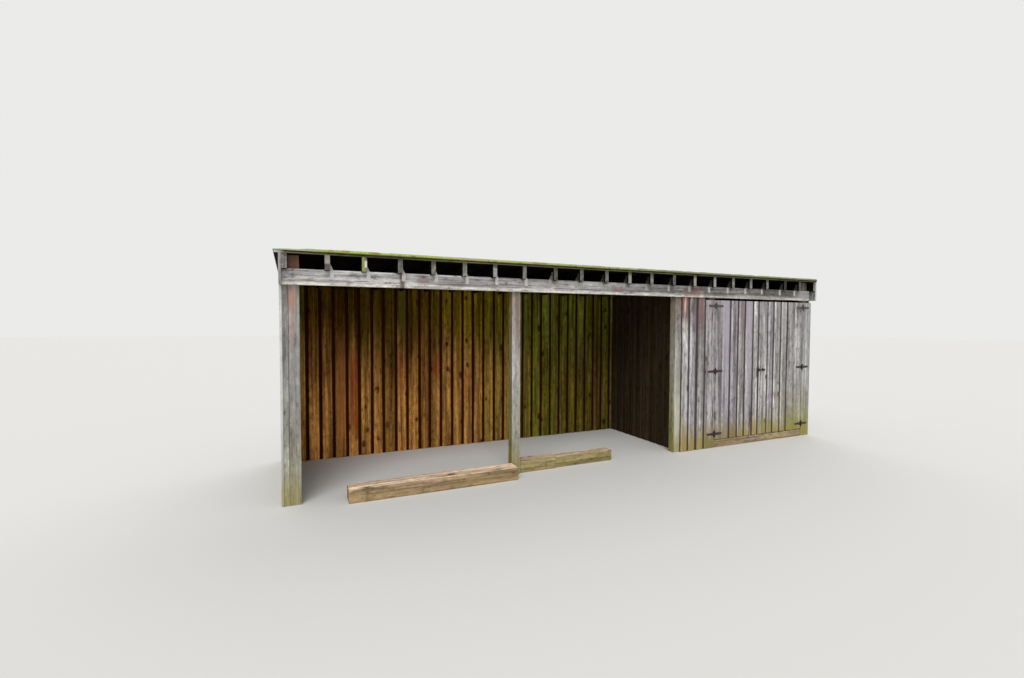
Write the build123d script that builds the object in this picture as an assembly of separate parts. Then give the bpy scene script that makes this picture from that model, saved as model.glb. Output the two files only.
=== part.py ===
"""Log store: an open-fronted lean-to of rough timber with two log bays and a closed tool room.

Sizes are in millimetres. X runs along the front to the right, Y runs to the back and Z is up.
Positions are worked out from the left front post's outer front edge, and the finished
building is moved so that the origin lies on the ground under the middle of its outline.
"""
import os
from math import cos, radians, tan

from build123d import *

# Timber sections
post = 100.0
board_t = 25.0
two_by = 48.0
beam_h = 147.0
rafter_h = 140.0
girt_h = 90.0
batten_h = 120.0

# Widths along the front
left_bay = 2165.0
middle_bay = 2250.0
fixed_front = 589.0
leaf_w = 885.0
leaf_gap = 8.0

# Heights and depth
beam_bottom = 2058.0
leaf_bottom = 108.0
leaf_top = 2028.0
inner_depth = 1524.0
roof_pitch = 2.5

# Roof
rafter_spaces = 21
# How far each rafter lies to the right of even spacing
rafter_shifts = (0, 18, 5, 0, -12, -25, -30, -25, 19, 20, 25, 18, 12, 28, 33, 38, 35, 30, 15, 45, 20, 0)
tail = 60.0
seat_cut = 11.0
deck_t = 24.0
deck_over_tail = 8.0
deck_over_left = 44.0
deck_over_right = 10.0
roofing_t = 6.0
roofing_edge_t = 26.0
roofing_edge_w = 45.0
roofing_over = 10.0

# Beam joints and splices
beam_joint = 5052.0
beam_right_stop = 8.0
splice_half = 148.0

# Ties on the rafters
tie_t = 2.0
tie_w = 38.0
tie_drop = 80.0
tie_rise = 62.0
tie_side_h = 84.0
tie_flange = 30.0
ties_on_right_side = 7

# Sill and curbs
sill_h = 95.0
sill_d = 90.0
curb_left_h = 137.0
curb_left_d = 190.0
curb_left_gap = 404.0
curb_left_seat = 15.0
curb_middle_h = (146.0, 130.0)
curb_middle_l = (485.0, 800.0)
curb_middle_d = 130.0
curb_set_back = 30.0
curb_step = 15.0
curb_joint = 0.3

# Rails: heights of their lower edges, on every boarded wall
rail_heights = (235.0, 1010.0, 1790.0)

# Door hinges
hinge_heights = (190.0, 1055.0, 1950.0)
barrel_h = 86.0
strap_l = 135.0
strap_neck = 26.0
strap_neck_h = 36.0
strap_tip = 26.0
strap_t = 3.0
knuckle_r = 7.0
knuckle_stand_off = 1.0
knuckle_play = 0.4
pin_r = 4.0
pin_play = 0.08
pin_head = 3.0

# Door ledges and pulls
ledge_end_gap = 34.0
brace_w = 95.0
pull_height = 1045.0
pull_edge_gap = 35.0
rose_r = 21.0
rose_t = 4.0
rose_bevel = 2.0
stem_r = 7.0
stem_l = 14.0
knob_r = 16.0
knob_l = 20.0
knob_bevel = 4.0

# Places worked out from the sizes above
x_post_middle = post + left_bay
x_post_partition = x_post_middle + post + middle_bay
x_partition = x_post_partition + post
x_fixed_end = x_partition + fixed_front
x_leaf_left = x_fixed_end + leaf_gap
x_leaf_right = x_leaf_left + leaf_w + leaf_gap
x_opening_end = x_leaf_right + leaf_w + leaf_gap
x_post_door = x_fixed_end - post
x_frame_end = x_opening_end + post
x_wall_left = -two_by - board_t
x_wall_right = x_frame_end + two_by
x_end = x_wall_right + board_t

y_front = -two_by
y_back_posts = inner_depth + board_t
y_back_beam = y_back_posts + post
y_back = y_back_beam + two_by
y_tail_front = y_front - tail
y_tail_back = y_back + tail

slope = tan(radians(roof_pitch))
beam_top = beam_bottom + beam_h
rafter_rise = rafter_h / cos(radians(roof_pitch))


def under_rafter(y):
    """Height of the rafters' lower edge at a place between front and back."""
    return beam_top - seat_cut - slope * (y - y_front)


def under_deck(y):
    return under_rafter(y) + rafter_rise


back_beam_top = under_rafter(y_back_beam) + seat_cut
rafter_pitch = x_wall_right / rafter_spaces
rafter_places = [n * rafter_pitch - two_by + shift for n, shift in enumerate(rafter_shifts)]


def block(x0, x1, y0, y1, z0, z1):
    """A squared timber between two corners."""
    return Pos((x0 + x1) / 2, (y0 + y1) / 2, (z0 + z1) / 2) * Box(x1 - x0, y1 - y0, z1 - z0)


def side_cut(points, x0, x1):
    """A shape drawn in the side view (y, z) and given its thickness along X."""
    face = make_face(Polyline([(0, y, z) for y, z in points], close=True))
    return Pos(x0, 0, 0) * extrude(face, amount=x1 - x0, dir=(1, 0, 0))


def front_cut(points, y0, y1):
    """A shape drawn in the front view (x, z) and given its thickness along Y."""
    face = make_face(Polyline([(x, 0, z) for x, z in points], close=True))
    return Pos(0, y0, 0) * extrude(face, amount=y1 - y0, dir=(0, 1, 0))


def under_slope(x0, x1, y0, y1, height):
    """An upright piece from the ground whose top follows the roof."""
    return side_cut([(y0, 0), (y1, 0), (y1, height(y1)), (y0, height(y0))], x0, x1)


# Origin: on the ground, under the middle of the outline that the roofing and the left curb make
roof_x0 = x_wall_left - deck_over_left
roof_x1 = x_end + deck_over_right
deck_y0 = y_tail_front - deck_over_tail
deck_y1 = y_tail_back + deck_over_tail
curb_left_front = curb_left_seat - curb_left_d
origin_x = (roof_x0 + roof_x1) / 2
origin_y = (min(deck_y0, curb_left_front) + deck_y1) / 2


def save(name, solids):
    """Write one named piece, moved to the origin."""
    solids = solids if isinstance(solids, list) else [solids]
    move = Pos(-origin_x, -origin_y, 0)
    parts = [move * solid for solid in solids]
    export_step(parts[0] if len(parts) == 1 else Compound(children=parts), "parts/" + name + ".step")


def posts_and_beams():
    save("front_post_left", under_slope(0, post, 0, post, under_deck))
    save("front_post_middle", block(x_post_middle, x_post_middle + post, 0, post, 0, under_rafter(post)))
    save("front_post_partition", block(x_post_partition, x_partition, 0, post, 0, under_rafter(post)))
    save("front_post_door", block(x_post_door, x_fixed_end, 0, post, 0, under_rafter(post)))
    save("front_post_right", under_slope(x_opening_end, x_frame_end, 0, post, under_deck))
    save("back_posts", [
        block(x, x + post, y_back_posts, y_back_beam, 0, under_rafter(y_back_beam))
        for x in (0, x_post_middle, x_post_partition, x_opening_end)
    ])
    front_end = x_frame_end - beam_right_stop
    save("front_beam_left", block(-two_by, beam_joint, y_front, 0, beam_bottom, beam_top))
    save("front_beam_right", block(beam_joint, front_end, y_front, 0, beam_bottom, beam_top))
    back_bottom = back_beam_top - beam_h
    save("back_beam_left", block(-two_by, beam_joint, y_back_beam, y_back, back_bottom, back_beam_top))
    save("back_beam_right", block(beam_joint, x_wall_right, y_back_beam, y_back, back_bottom, back_beam_top))
    splice = (beam_joint - splice_half, beam_joint + splice_half)
    save("beam_splices", [
        block(*splice, 0, two_by, beam_bottom, under_rafter(two_by)),
        block(*splice, y_back_beam - two_by, y_back_beam, back_bottom, under_rafter(y_back_beam)),
    ])


def roof():
    # Each rafter is cut plumb at both tails and has a level seat over each beam
    profile = [
        (y_tail_front, under_rafter(y_tail_front)),
        (y_front, under_rafter(y_front)),
        (y_front, beam_top),
        (0, beam_top),
        (0, under_rafter(0)),
        (y_back_beam, under_rafter(y_back_beam)),
        (y_back_beam, back_beam_top),
        (y_back, back_beam_top),
        (y_back, under_rafter(y_back)),
        (y_tail_back, under_rafter(y_tail_back)),
        (y_tail_back, under_deck(y_tail_back)),
        (y_tail_front, under_deck(y_tail_front)),
    ]
    save("rafters", [side_cut(profile, x, x + two_by) for x in rafter_places])

    # Bent sheet ties: one leg on the rafter's side, the other on the beam's face
    ties = []
    for n, x in list(enumerate(rafter_places))[1:-1]:
        side = 1 if n <= ties_on_right_side else -1
        edge = x + two_by if side > 0 else x
        leg = front_cut([
            (edge, beam_top - tie_drop),
            (edge + side * tie_w, beam_top - tie_drop),
            (edge + side * tie_w, beam_top - seat_cut),
            (edge, beam_top + tie_rise),
        ], y_front - tie_t, y_front)
        flange = block(*sorted((edge, edge + side * tie_t)), y_front - tie_flange, y_front - tie_t,
                       beam_top - seat_cut, beam_top + tie_side_h)
        ties.append(leg + flange)
    save("rafter_ties", ties)

    def sheet(x0, x1, y0, y1, above, thickness):
        low = [(y, under_deck(y) + above) for y in (y0, y1)]
        high = [(y, under_deck(y) + above + thickness) for y in (y1, y0)]
        return side_cut(low + high, x0, x1)

    save("roof_deck", sheet(roof_x0 + roofing_over, roof_x1 - roofing_over,
                            deck_y0 + roofing_over, deck_y1 - roofing_over, 0, deck_t))

    # Felt over the deck, and the built-up edge that lies on it along the front
    save("roofing", sheet(roof_x0, roof_x1, deck_y0, deck_y1, deck_t, roofing_t))
    edge_y = deck_y0 + roofing_edge_w
    top = deck_t + roofing_t
    edge_top = deck_t + roofing_edge_t
    save("roof_edge", side_cut([
        (deck_y0, under_deck(deck_y0) + top),
        (edge_y + roofing_edge_t, under_deck(edge_y + roofing_edge_t) + top),
        (edge_y, under_deck(edge_y) + edge_top),
        (deck_y0, under_deck(deck_y0) + edge_top),
    ], roof_x0, roof_x1))


def walls():
    for name, x0, x_girt in (("left", x_wall_left, -two_by), ("right", x_wall_right, x_frame_end)):
        save(name + "_wall_boards", under_slope(x0, x0 + board_t, 0, y_back, under_rafter))
        nailers = [
            under_slope(x_girt, x_girt + two_by, 0, girt_h, under_rafter),
            under_slope(x_girt, x_girt + two_by, y_back_posts, y_back_beam, under_rafter),
        ]
        girts = [block(x_girt, x_girt + two_by, girt_h, inner_depth, z, z + girt_h) for z in rail_heights]
        save(name + "_wall_girts", nailers + girts)
    save("rake_boards", [
        side_cut([(0, under_rafter(0)), (y_tail_back, under_rafter(y_tail_back)),
                  (y_tail_back, under_deck(y_tail_back)), (0, under_deck(0))], x, x + board_t)
        for x in (x_wall_left, x_wall_right)
    ])
    save("beam_end_boards", [
        side_cut([(y_tail_front, beam_bottom), (0, beam_bottom), (0, under_deck(0)),
                  (y_tail_front, under_deck(y_tail_front))], x, x + board_t)
        for x in (x_wall_left, x_wall_right)
    ])

    back_top = under_rafter(y_back_posts)
    middle = x_partition + board_t / 2
    save("back_wall_log_bays", block(-two_by, middle, inner_depth, y_back_posts, 0, back_top))
    save("back_wall_tool_room", block(middle, x_wall_right, inner_depth, y_back_posts, 0, back_top))
    save("back_wall_top_boards", [
        side_cut([(inner_depth, back_top), (y_back_posts, back_top),
                  (y_back_posts, under_deck(y_back_posts)), (inner_depth, under_deck(inner_depth))],
                 x + two_by, after)
        for x, after in zip(rafter_places, rafter_places[1:])
    ])
    spans = ((post, x_post_middle), (x_post_middle + post, x_post_partition), (x_partition, x_opening_end))
    save("back_wall_rails", [
        block(x0, x1, y_back_posts, y_back_posts + two_by, z, z + girt_h)
        for x0, x1 in spans for z in rail_heights
    ])

    save("partition_boards", under_slope(x_partition, x_partition + board_t, 0, inner_depth, under_rafter))
    x_rail = x_partition + board_t
    save("partition_rails", [block(x_rail, x_rail + two_by, 0, inner_depth, z, z + girt_h) for z in rail_heights])
    save("front_wall_rails", [
        block(x_rail + two_by, x_post_door, 0, two_by, z, z + girt_h) for z in rail_heights
    ])
    save("front_wall_boards", block(x_partition, x_fixed_end, -board_t, 0, 0, beam_bottom))
    save("corner_board", block(x_opening_end, x_end, -board_t, 0, 0, leaf_top))

    save("door_sill", block(x_fixed_end, x_opening_end, -board_t, sill_d - board_t, 0, sill_h))

    # The left curb lies in front of the posts, and its back corner reaches just beside the middle post
    save("curb_left", block(post + curb_left_gap, x_post_middle, curb_left_front, curb_left_seat,
                            0, curb_left_h))
    curb_x = x_post_middle + post
    curb_front = curb_set_back
    middle = []
    for height, length in zip(curb_middle_h, curb_middle_l):
        middle.append(block(curb_x, curb_x + length, curb_front, curb_front + curb_middle_d, 0, height))
        curb_x += length + curb_joint
        curb_front += curb_step
    save("curb_middle", middle)


# Hinge axes: in the middle of the gap beside each leaf, in front of the boards
hinge_y = -board_t - knuckle_stand_off - knuckle_r
hinge_x_left = x_fixed_end + leaf_gap / 2
hinge_x_right = x_opening_end - leaf_gap / 2


def strap(x, z, side, z_low, z_high):
    """A flared plate on the boards with its knuckle between two heights."""
    inner = knuckle_r + knuckle_stand_off
    outline = [
        (x + side * inner, z - barrel_h / 2),
        (x + side * strap_neck, z - strap_neck_h / 2),
        (x + side * strap_l, z - strap_tip / 2),
        (x + side * strap_l, z + strap_tip / 2),
        (x + side * strap_neck, z + strap_neck_h / 2),
        (x + side * inner, z + barrel_h / 2),
    ]
    plate = front_cut(outline, -board_t - strap_t, -board_t)
    web = block(*sorted((x, x + side * inner)), -board_t - strap_t, -board_t, z_low, z_high)
    barrel = Pos(x, hinge_y, (z_low + z_high) / 2) * Cylinder(knuckle_r, z_high - z_low)
    return plate + web + barrel


def hinge(x, z, side):
    """Fixed half with its pin, and the moving half that turns on it. The leaf lies towards side."""
    third = barrel_h / 6
    top, low = z + barrel_h / 2, z - barrel_h / 2
    fixed = strap(x, z, -side, low, z - third)
    web = block(*sorted((x, x - side * (knuckle_r + knuckle_stand_off))),
                -board_t - strap_t, -board_t, z + third, top)
    fixed += web + Pos(x, hinge_y, (z + third + top) / 2) * Cylinder(knuckle_r, top - z - third)
    fixed += Pos(x, hinge_y, z + pin_head / 2) * Cylinder(pin_r, barrel_h + pin_head)
    fixed += Pos(x, hinge_y, top + pin_head / 2) * Cylinder(pin_r + 1.5, pin_head)
    moving = strap(x, z, side, z - third + knuckle_play, z + third - knuckle_play)
    moving -= Pos(x, hinge_y, z) * Cylinder(pin_r + pin_play, barrel_h)
    return fixed, moving


def pull(x):
    """A turned knob on a bevelled rose, standing out from the leaf's face."""
    rose_front = rose_t
    knob_back = rose_front + stem_l
    profile = [
        (0, 0), (rose_r, 0), (rose_r, rose_front - rose_bevel), (rose_r - rose_bevel, rose_front),
        (stem_r, rose_front), (stem_r, knob_back), (knob_r - knob_bevel, knob_back),
        (knob_r, knob_back + knob_bevel), (knob_r, knob_back + knob_l - 2 * knob_bevel),
        (knob_r - 2 * knob_bevel, knob_back + knob_l), (0, knob_back + knob_l),
    ]
    half = make_face(Polyline([(r, 0, out) for r, out in profile], close=True))
    return Pos(x, -board_t, pull_height) * Rot(90, 0, 0) * revolve(half, Axis.Z)


def doors():
    leaves = (
        ("left", x_leaf_left, hinge_x_left, 1, x_leaf_left + leaf_w - pull_edge_gap),
        ("right", x_leaf_right, hinge_x_right, -1, x_leaf_right + pull_edge_gap),
    )
    for name, x0, axis_x, side, pull_x in leaves:
        x1 = x0 + leaf_w
        save("door_%s_leaf" % name, block(x0, x1, -board_t, 0, leaf_bottom, leaf_top))
        a, b = x0 + ledge_end_gap, x1 - ledge_end_gap
        levels = [max(z - batten_h / 2, leaf_bottom + seat_cut) for z in hinge_heights]
        levels[-1] = min(hinge_heights[-1] - batten_h / 2, leaf_top - batten_h)
        ledges = [block(a, b, 0, board_t, z, z + batten_h) for z in levels]
        foot, head = (a, b) if side > 0 else (b, a)
        for low, high in zip(levels, levels[1:]):
            ledges.append(front_cut([
                (foot, low + batten_h),
                (foot + side * brace_w, low + batten_h),
                (head, high),
                (head - side * brace_w, high),
            ], 0, board_t))
        save("door_%s_ledges" % name, ledges)
        halves = [hinge(axis_x, z, side) for z in hinge_heights]
        save("door_%s_hinge_plates" % name, [fixed for fixed, moving in halves])
        save("door_%s_straps" % name, [moving for fixed, moving in halves])
        save("door_%s_pull" % name, pull(pull_x))


if __name__ == "__main__":
    os.makedirs("parts", exist_ok=True)
    posts_and_beams()
    roof()
    walls()
    doors()
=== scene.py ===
"""Looks of the log store: weathered boards, sawn timber, mossy roofing and black ironwork.

Everything is in metres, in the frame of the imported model, and each piece takes its place
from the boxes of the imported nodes. Only places along the front are in millimetres from the
left post's outer edge, and on_front turns them into the model's X.
"""
import math
import random
from collections import namedtuple
from itertools import product

import bmesh
import bpy
import numpy as np
from bpy.props import FloatProperty, FloatVectorProperty, IntProperty, PointerProperty
from mathutils import Matrix, Vector, noise


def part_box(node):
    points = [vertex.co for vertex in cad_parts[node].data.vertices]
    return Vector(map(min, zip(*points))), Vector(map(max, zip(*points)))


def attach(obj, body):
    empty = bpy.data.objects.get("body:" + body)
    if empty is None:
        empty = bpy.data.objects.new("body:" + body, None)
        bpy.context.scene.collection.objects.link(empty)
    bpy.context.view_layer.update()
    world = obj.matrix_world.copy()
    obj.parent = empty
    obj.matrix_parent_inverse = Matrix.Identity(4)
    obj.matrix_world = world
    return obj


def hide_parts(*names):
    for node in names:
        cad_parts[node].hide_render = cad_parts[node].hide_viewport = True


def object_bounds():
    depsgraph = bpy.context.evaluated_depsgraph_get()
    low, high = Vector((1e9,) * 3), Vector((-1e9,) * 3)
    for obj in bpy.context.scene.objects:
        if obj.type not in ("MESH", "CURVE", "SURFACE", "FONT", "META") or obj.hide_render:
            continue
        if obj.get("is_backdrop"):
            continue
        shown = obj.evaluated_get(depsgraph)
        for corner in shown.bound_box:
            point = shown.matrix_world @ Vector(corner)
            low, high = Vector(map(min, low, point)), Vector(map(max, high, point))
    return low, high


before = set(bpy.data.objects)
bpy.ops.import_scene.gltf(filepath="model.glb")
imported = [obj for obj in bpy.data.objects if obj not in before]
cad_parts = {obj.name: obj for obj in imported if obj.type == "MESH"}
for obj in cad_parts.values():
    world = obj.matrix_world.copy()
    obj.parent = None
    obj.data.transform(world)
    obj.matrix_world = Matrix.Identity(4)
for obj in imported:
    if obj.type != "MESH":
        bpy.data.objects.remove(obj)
CAD_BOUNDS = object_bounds()

bl_info = {
    "name": "Log store",
    "version": (1, 0, 0),
    "blender": (4, 5, 0),
    "location": "3D View > Sidebar > Log store",
    "description": "Dresses the packed log store in boards, timber, roofing and ironwork",
    "category": "Object",
}

RIGHT, BACK, UP = Vector((1, 0, 0)), Vector((0, 1, 0)), Vector((0, 0, 1))
FRONT, LEFT = -BACK, -RIGHT
SIDES = ("left", "right")
ROOF_FALL = math.tan(math.radians(2.5))
POST_EDGE, POST_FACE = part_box("front_post_left")[0][:2]
GRAIN_DEPTH = 0.0016
RECESS = 0.010
BOARD_BACK = (-0.0215, -0.0240)
INNER_LAYER, OUTER_LAYER = 0.015, 0.009
NAIL_RISE, SCREW_RISE = 0.001, 0.0016
FELT_INSET = 0.002


def on_front(millimetres):
    """Place along the front, from the left post's outer edge."""
    return POST_EDGE + millimetres / 1000


def colour(red, green, blue):
    """A display colour, 0 to 255, as the linear values that the nodes take."""
    out = []
    for value in (red, green, blue):
        value /= 255
        out.append(value / 12.92 if value <= 0.04045 else ((value + 0.055) / 1.055) ** 2.4)
    return tuple(out)


def length(name, default, description):
    return FloatProperty(name=name, description=description, default=default, min=0.0, unit="LENGTH")


def paint(name, default, description):
    return FloatVectorProperty(name=name, description=description, default=colour(*default),
                               subtype="COLOR", size=3, min=0.0, max=1.0)


class BoardSizes(bpy.types.PropertyGroup):
    """Sizes of the boards on the walls and doors."""
    back_pitch: length("Back wall pitch", 0.1544, "Spacing of the boards on the back wall")
    side_pitch: length("Side wall pitch", 0.150, "Spacing of the boards on the side walls and partition")
    channel: length("Channel", 0.034, "Width of the recess between two boards")
    channel_depth: length("Channel depth", 0.012, "Depth of the recess between two boards")
    wide_channel: length("Wide channel", 0.038,
                         "Width of the recess on the back wall, seen from the bays")
    joint: length("Joint", 0.003, "Gap between two boards that have no recess")
    eased_edge: length("Eased edge", 0.003, "Rounding of the boards' edges")
    waver: length("Waver", 0.0022, "How far an edge wanders from a straight line")
    cup: length("Cup", 0.0014, "How far a board is hollow across its width")
    ragged: length("Ragged ends", 0.006, "How uneven the boards' lower ends are")


class TimberSizes(bpy.types.PropertyGroup):
    """Finish of the squared timbers."""
    eased_edge: length("Eased edge", 0.004, "Rounding of the timbers' edges")
    saw_marks: length("Saw marks", 0.0016, "Depth of the unevenness left by the saw and the weather")
    cut_spacing: length("Mesh spacing", 0.11, "Spacing of the mesh rings along a timber")


class RoofSizes(bpy.types.PropertyGroup):
    """Sizes of the roof covering."""
    felt: length("Felt", 0.004, "Thickness of the roofing felt")
    lap: length("Lap", 0.0018, "Step where one width of felt laps the other")
    moss_room: length("Room for moss", 0.008, "How far the felt stays inside the roof's outline")
    deck_board: length("Deck board", 0.148, "Width of one board of the roof deck")
    cushions: IntProperty(name="Moss cushions", description="Number of loose cushions on the roof",
                          default=320, min=0)
    cushion_size: length("Cushion size", 0.017, "Radius of an average moss cushion")


class IronSizes(bpy.types.PropertyGroup):
    """Sizes of nails and screws."""
    nail_head: length("Nail head", 0.0045, "Radius of a nail head")
    screw_head: length("Screw head", 0.0055, "Radius of a screw head on a hinge")


class WoodColours(bpy.types.PropertyGroup):
    """Colours of the wood, from fresh to weathered, and the painted shade under the roof and in recesses.
    """
    silver: paint("Silver", (190, 188, 187), "Weathered surface, lightest streaks")
    lilac: paint("Lilac grey", (170, 163, 172), "Weathered surface of the cooler boards")
    ash: paint("Ash", (112, 107, 103), "Weathered surface, darker streaks")
    # Soot darkens the cracks as dirt, and it is the painted shade in the boards' recesses.
    soot: paint("Soot", (58, 52, 47), "Dirt in cracks and recesses")
    umber: paint("Umber", (88, 64, 58), "Brown stain of rain on sheltered wood")
    fresh: paint("Fresh wood", (226, 186, 164), "Pale orange wood where the weather has not reached")
    russet: paint("Russet", (128, 88, 84), "Reddish brown of wood that stays damp")
    beige: paint("Beige", (222, 218, 206), "Washed lower edge of the beam")
    straw: paint("Straw", (160, 139, 70), "Yellow brown stain near the ground")
    algae: paint("Algae", (134, 136, 58), "Green growth near the ground")
    knot: paint("Knot", (74, 54, 42), "Knots")
    sheltered_top: paint("Sheltered, high", (97, 70, 16), "Back wall close under the roof")
    sheltered_ochre: paint("Sheltered, ochre", (150, 126, 26),
                           "Back wall high up in the first bay's middle")
    sheltered_olive: paint("Sheltered, olive", (120, 128, 42), "Back wall of the second bay")
    sheltered_low: paint("Sheltered, low", (206, 144, 78), "Back wall lower down")
    sheltered_red: paint("Sheltered, red", (98, 46, 16), "Reddish boards of the back wall")
    # Painted shade in the back wall's recesses; it also darkens the wall's broad streaks.
    sheltered_recess: paint("Sheltered recess", (52, 20, 2), "Recesses of the back wall")
    dark_inside: paint("Dark inside", (60, 44, 22), "Partition and tool room")
    # Painted shade on the rafters, the deck and the top of the back wall under the roof.
    under_roof: paint("Under the roof", (6, 3, 3), "Rafters and deck seen from below")
    kerb: paint("Kerb timber", (170, 144, 112), "Front of the timbers lying along the foot of the bays")
    kerb_olive: paint("Olive kerb timber", (166, 152, 104), "Front of the kerb timbers in the second bay")
    kerb_top: paint("Kerb's top", (248, 219, 188), "Top of the kerb timbers, washed by the rain")


class RoofColours(bpy.types.PropertyGroup):
    """Colours of the roof covering."""
    felt: paint("Felt", (84, 88, 78), "Weathered mineral felt")
    felt_pale: paint("Pale felt", (122, 128, 112), "Worn grains of the felt")
    moss_bright: paint("Bright moss", (202, 222, 124), "Sunlit tips of the moss")
    moss_deep: paint("Deep moss", (98, 118, 52), "Inside of the moss")
    moss_dull: paint("Dull moss", (168, 178, 142), "Greyer moss towards the tool room")
    moss_brown: paint("Dry moss", (150, 122, 66), "Dry moss and old needles")


class IronColours(bpy.types.PropertyGroup):
    """Colours of the metal."""
    black_iron: paint("Black iron", (36, 33, 32), "Painted hinges and knobs")
    rust: paint("Rust", (98, 58, 38), "Rust that shows through the paint")
    zinc: paint("Zinc", (208, 207, 206), "Galvanised ties")
    # Painted shade on the upper ends of the ties under the roof.
    zinc_shaded: paint("Shaded zinc", (38, 40, 32), "Upper ends of the ties, dirty under the roof")
    zinc_dull: paint("Dull zinc", (160, 160, 158), "Dull spangles of the ties")


class StageSettings(bpy.types.PropertyGroup):
    """Camera, floor and light."""
    lens: FloatProperty(name="Lens", description="Focal length on a 36 mm wide sensor", default=16.945)
    turn: FloatProperty(name="Turn", description="Camera's turn to the right of the depth axis",
                        default=math.radians(24.22), subtype="ANGLE")
    tilt: FloatProperty(name="Tilt", description="Camera's tilt below the horizon",
                        default=math.radians(1.99), subtype="ANGLE")
    roll: FloatProperty(name="Roll", description="Camera's roll to the left",
                        default=math.radians(0.17), subtype="ANGLE")
    eye: FloatVectorProperty(name="Eye", description="Place of the camera",
                             default=(POST_EDGE + 0.061, POST_FACE - 4.894, 1.720),
                             subtype="TRANSLATION", size=3)
    floor: paint("Floor", (226, 225, 222), "Plain pale floor")
    sky: FloatProperty(name="Sky", description="Strength of the even light", default=0.62, min=0.0)
    key: FloatProperty(name="Key", description="Strength of the light from the front",
                       default=1.5, min=0.0)
    fill: FloatProperty(name="Fill", description="Strength of the light from behind",
                        default=0.7, min=0.0)


GROUPS = {
    "log_boards": BoardSizes, "log_timber": TimberSizes, "log_roof": RoofSizes, "log_iron": IronSizes,
    "log_wood": WoodColours, "log_roof_colours": RoofColours, "log_iron_colours": IronColours,
    "log_stage": StageSettings,
}


# Sawn pieces


def eased(section, radius):
    """The section with its outward corners rounded."""
    area = sum(a[0] * b[1] - b[0] * a[1] for a, b in zip(section, section[1:] + section[:1]))
    out = []
    for before, corner, after in zip(section[-1:] + section[:-1], section, section[1:] + section[:1]):
        before, corner, after = Vector(before), Vector(corner), Vector(after)
        back, on = before - corner, after - corner
        turn = (corner - before).x * on.y - (corner - before).y * on.x
        if turn * area <= 1e-12:
            out.append(corner)
            continue
        size = min(radius, back.length * 0.4, on.length * 0.4)
        back, on = back.normalized() * size, on.normalized() * size
        out += [corner + back, corner + (back + on) * 0.3, corner + on]
    return out


def divided(section, gap):
    """The section with points added on its long sides."""
    out = []
    for point, after in zip(section, section[1:] + section[:1]):
        pieces = max(1, round((after - point).length / gap))
        out += [point.lerp(after, n / pieces) for n in range(pieces)]
    return out


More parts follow.
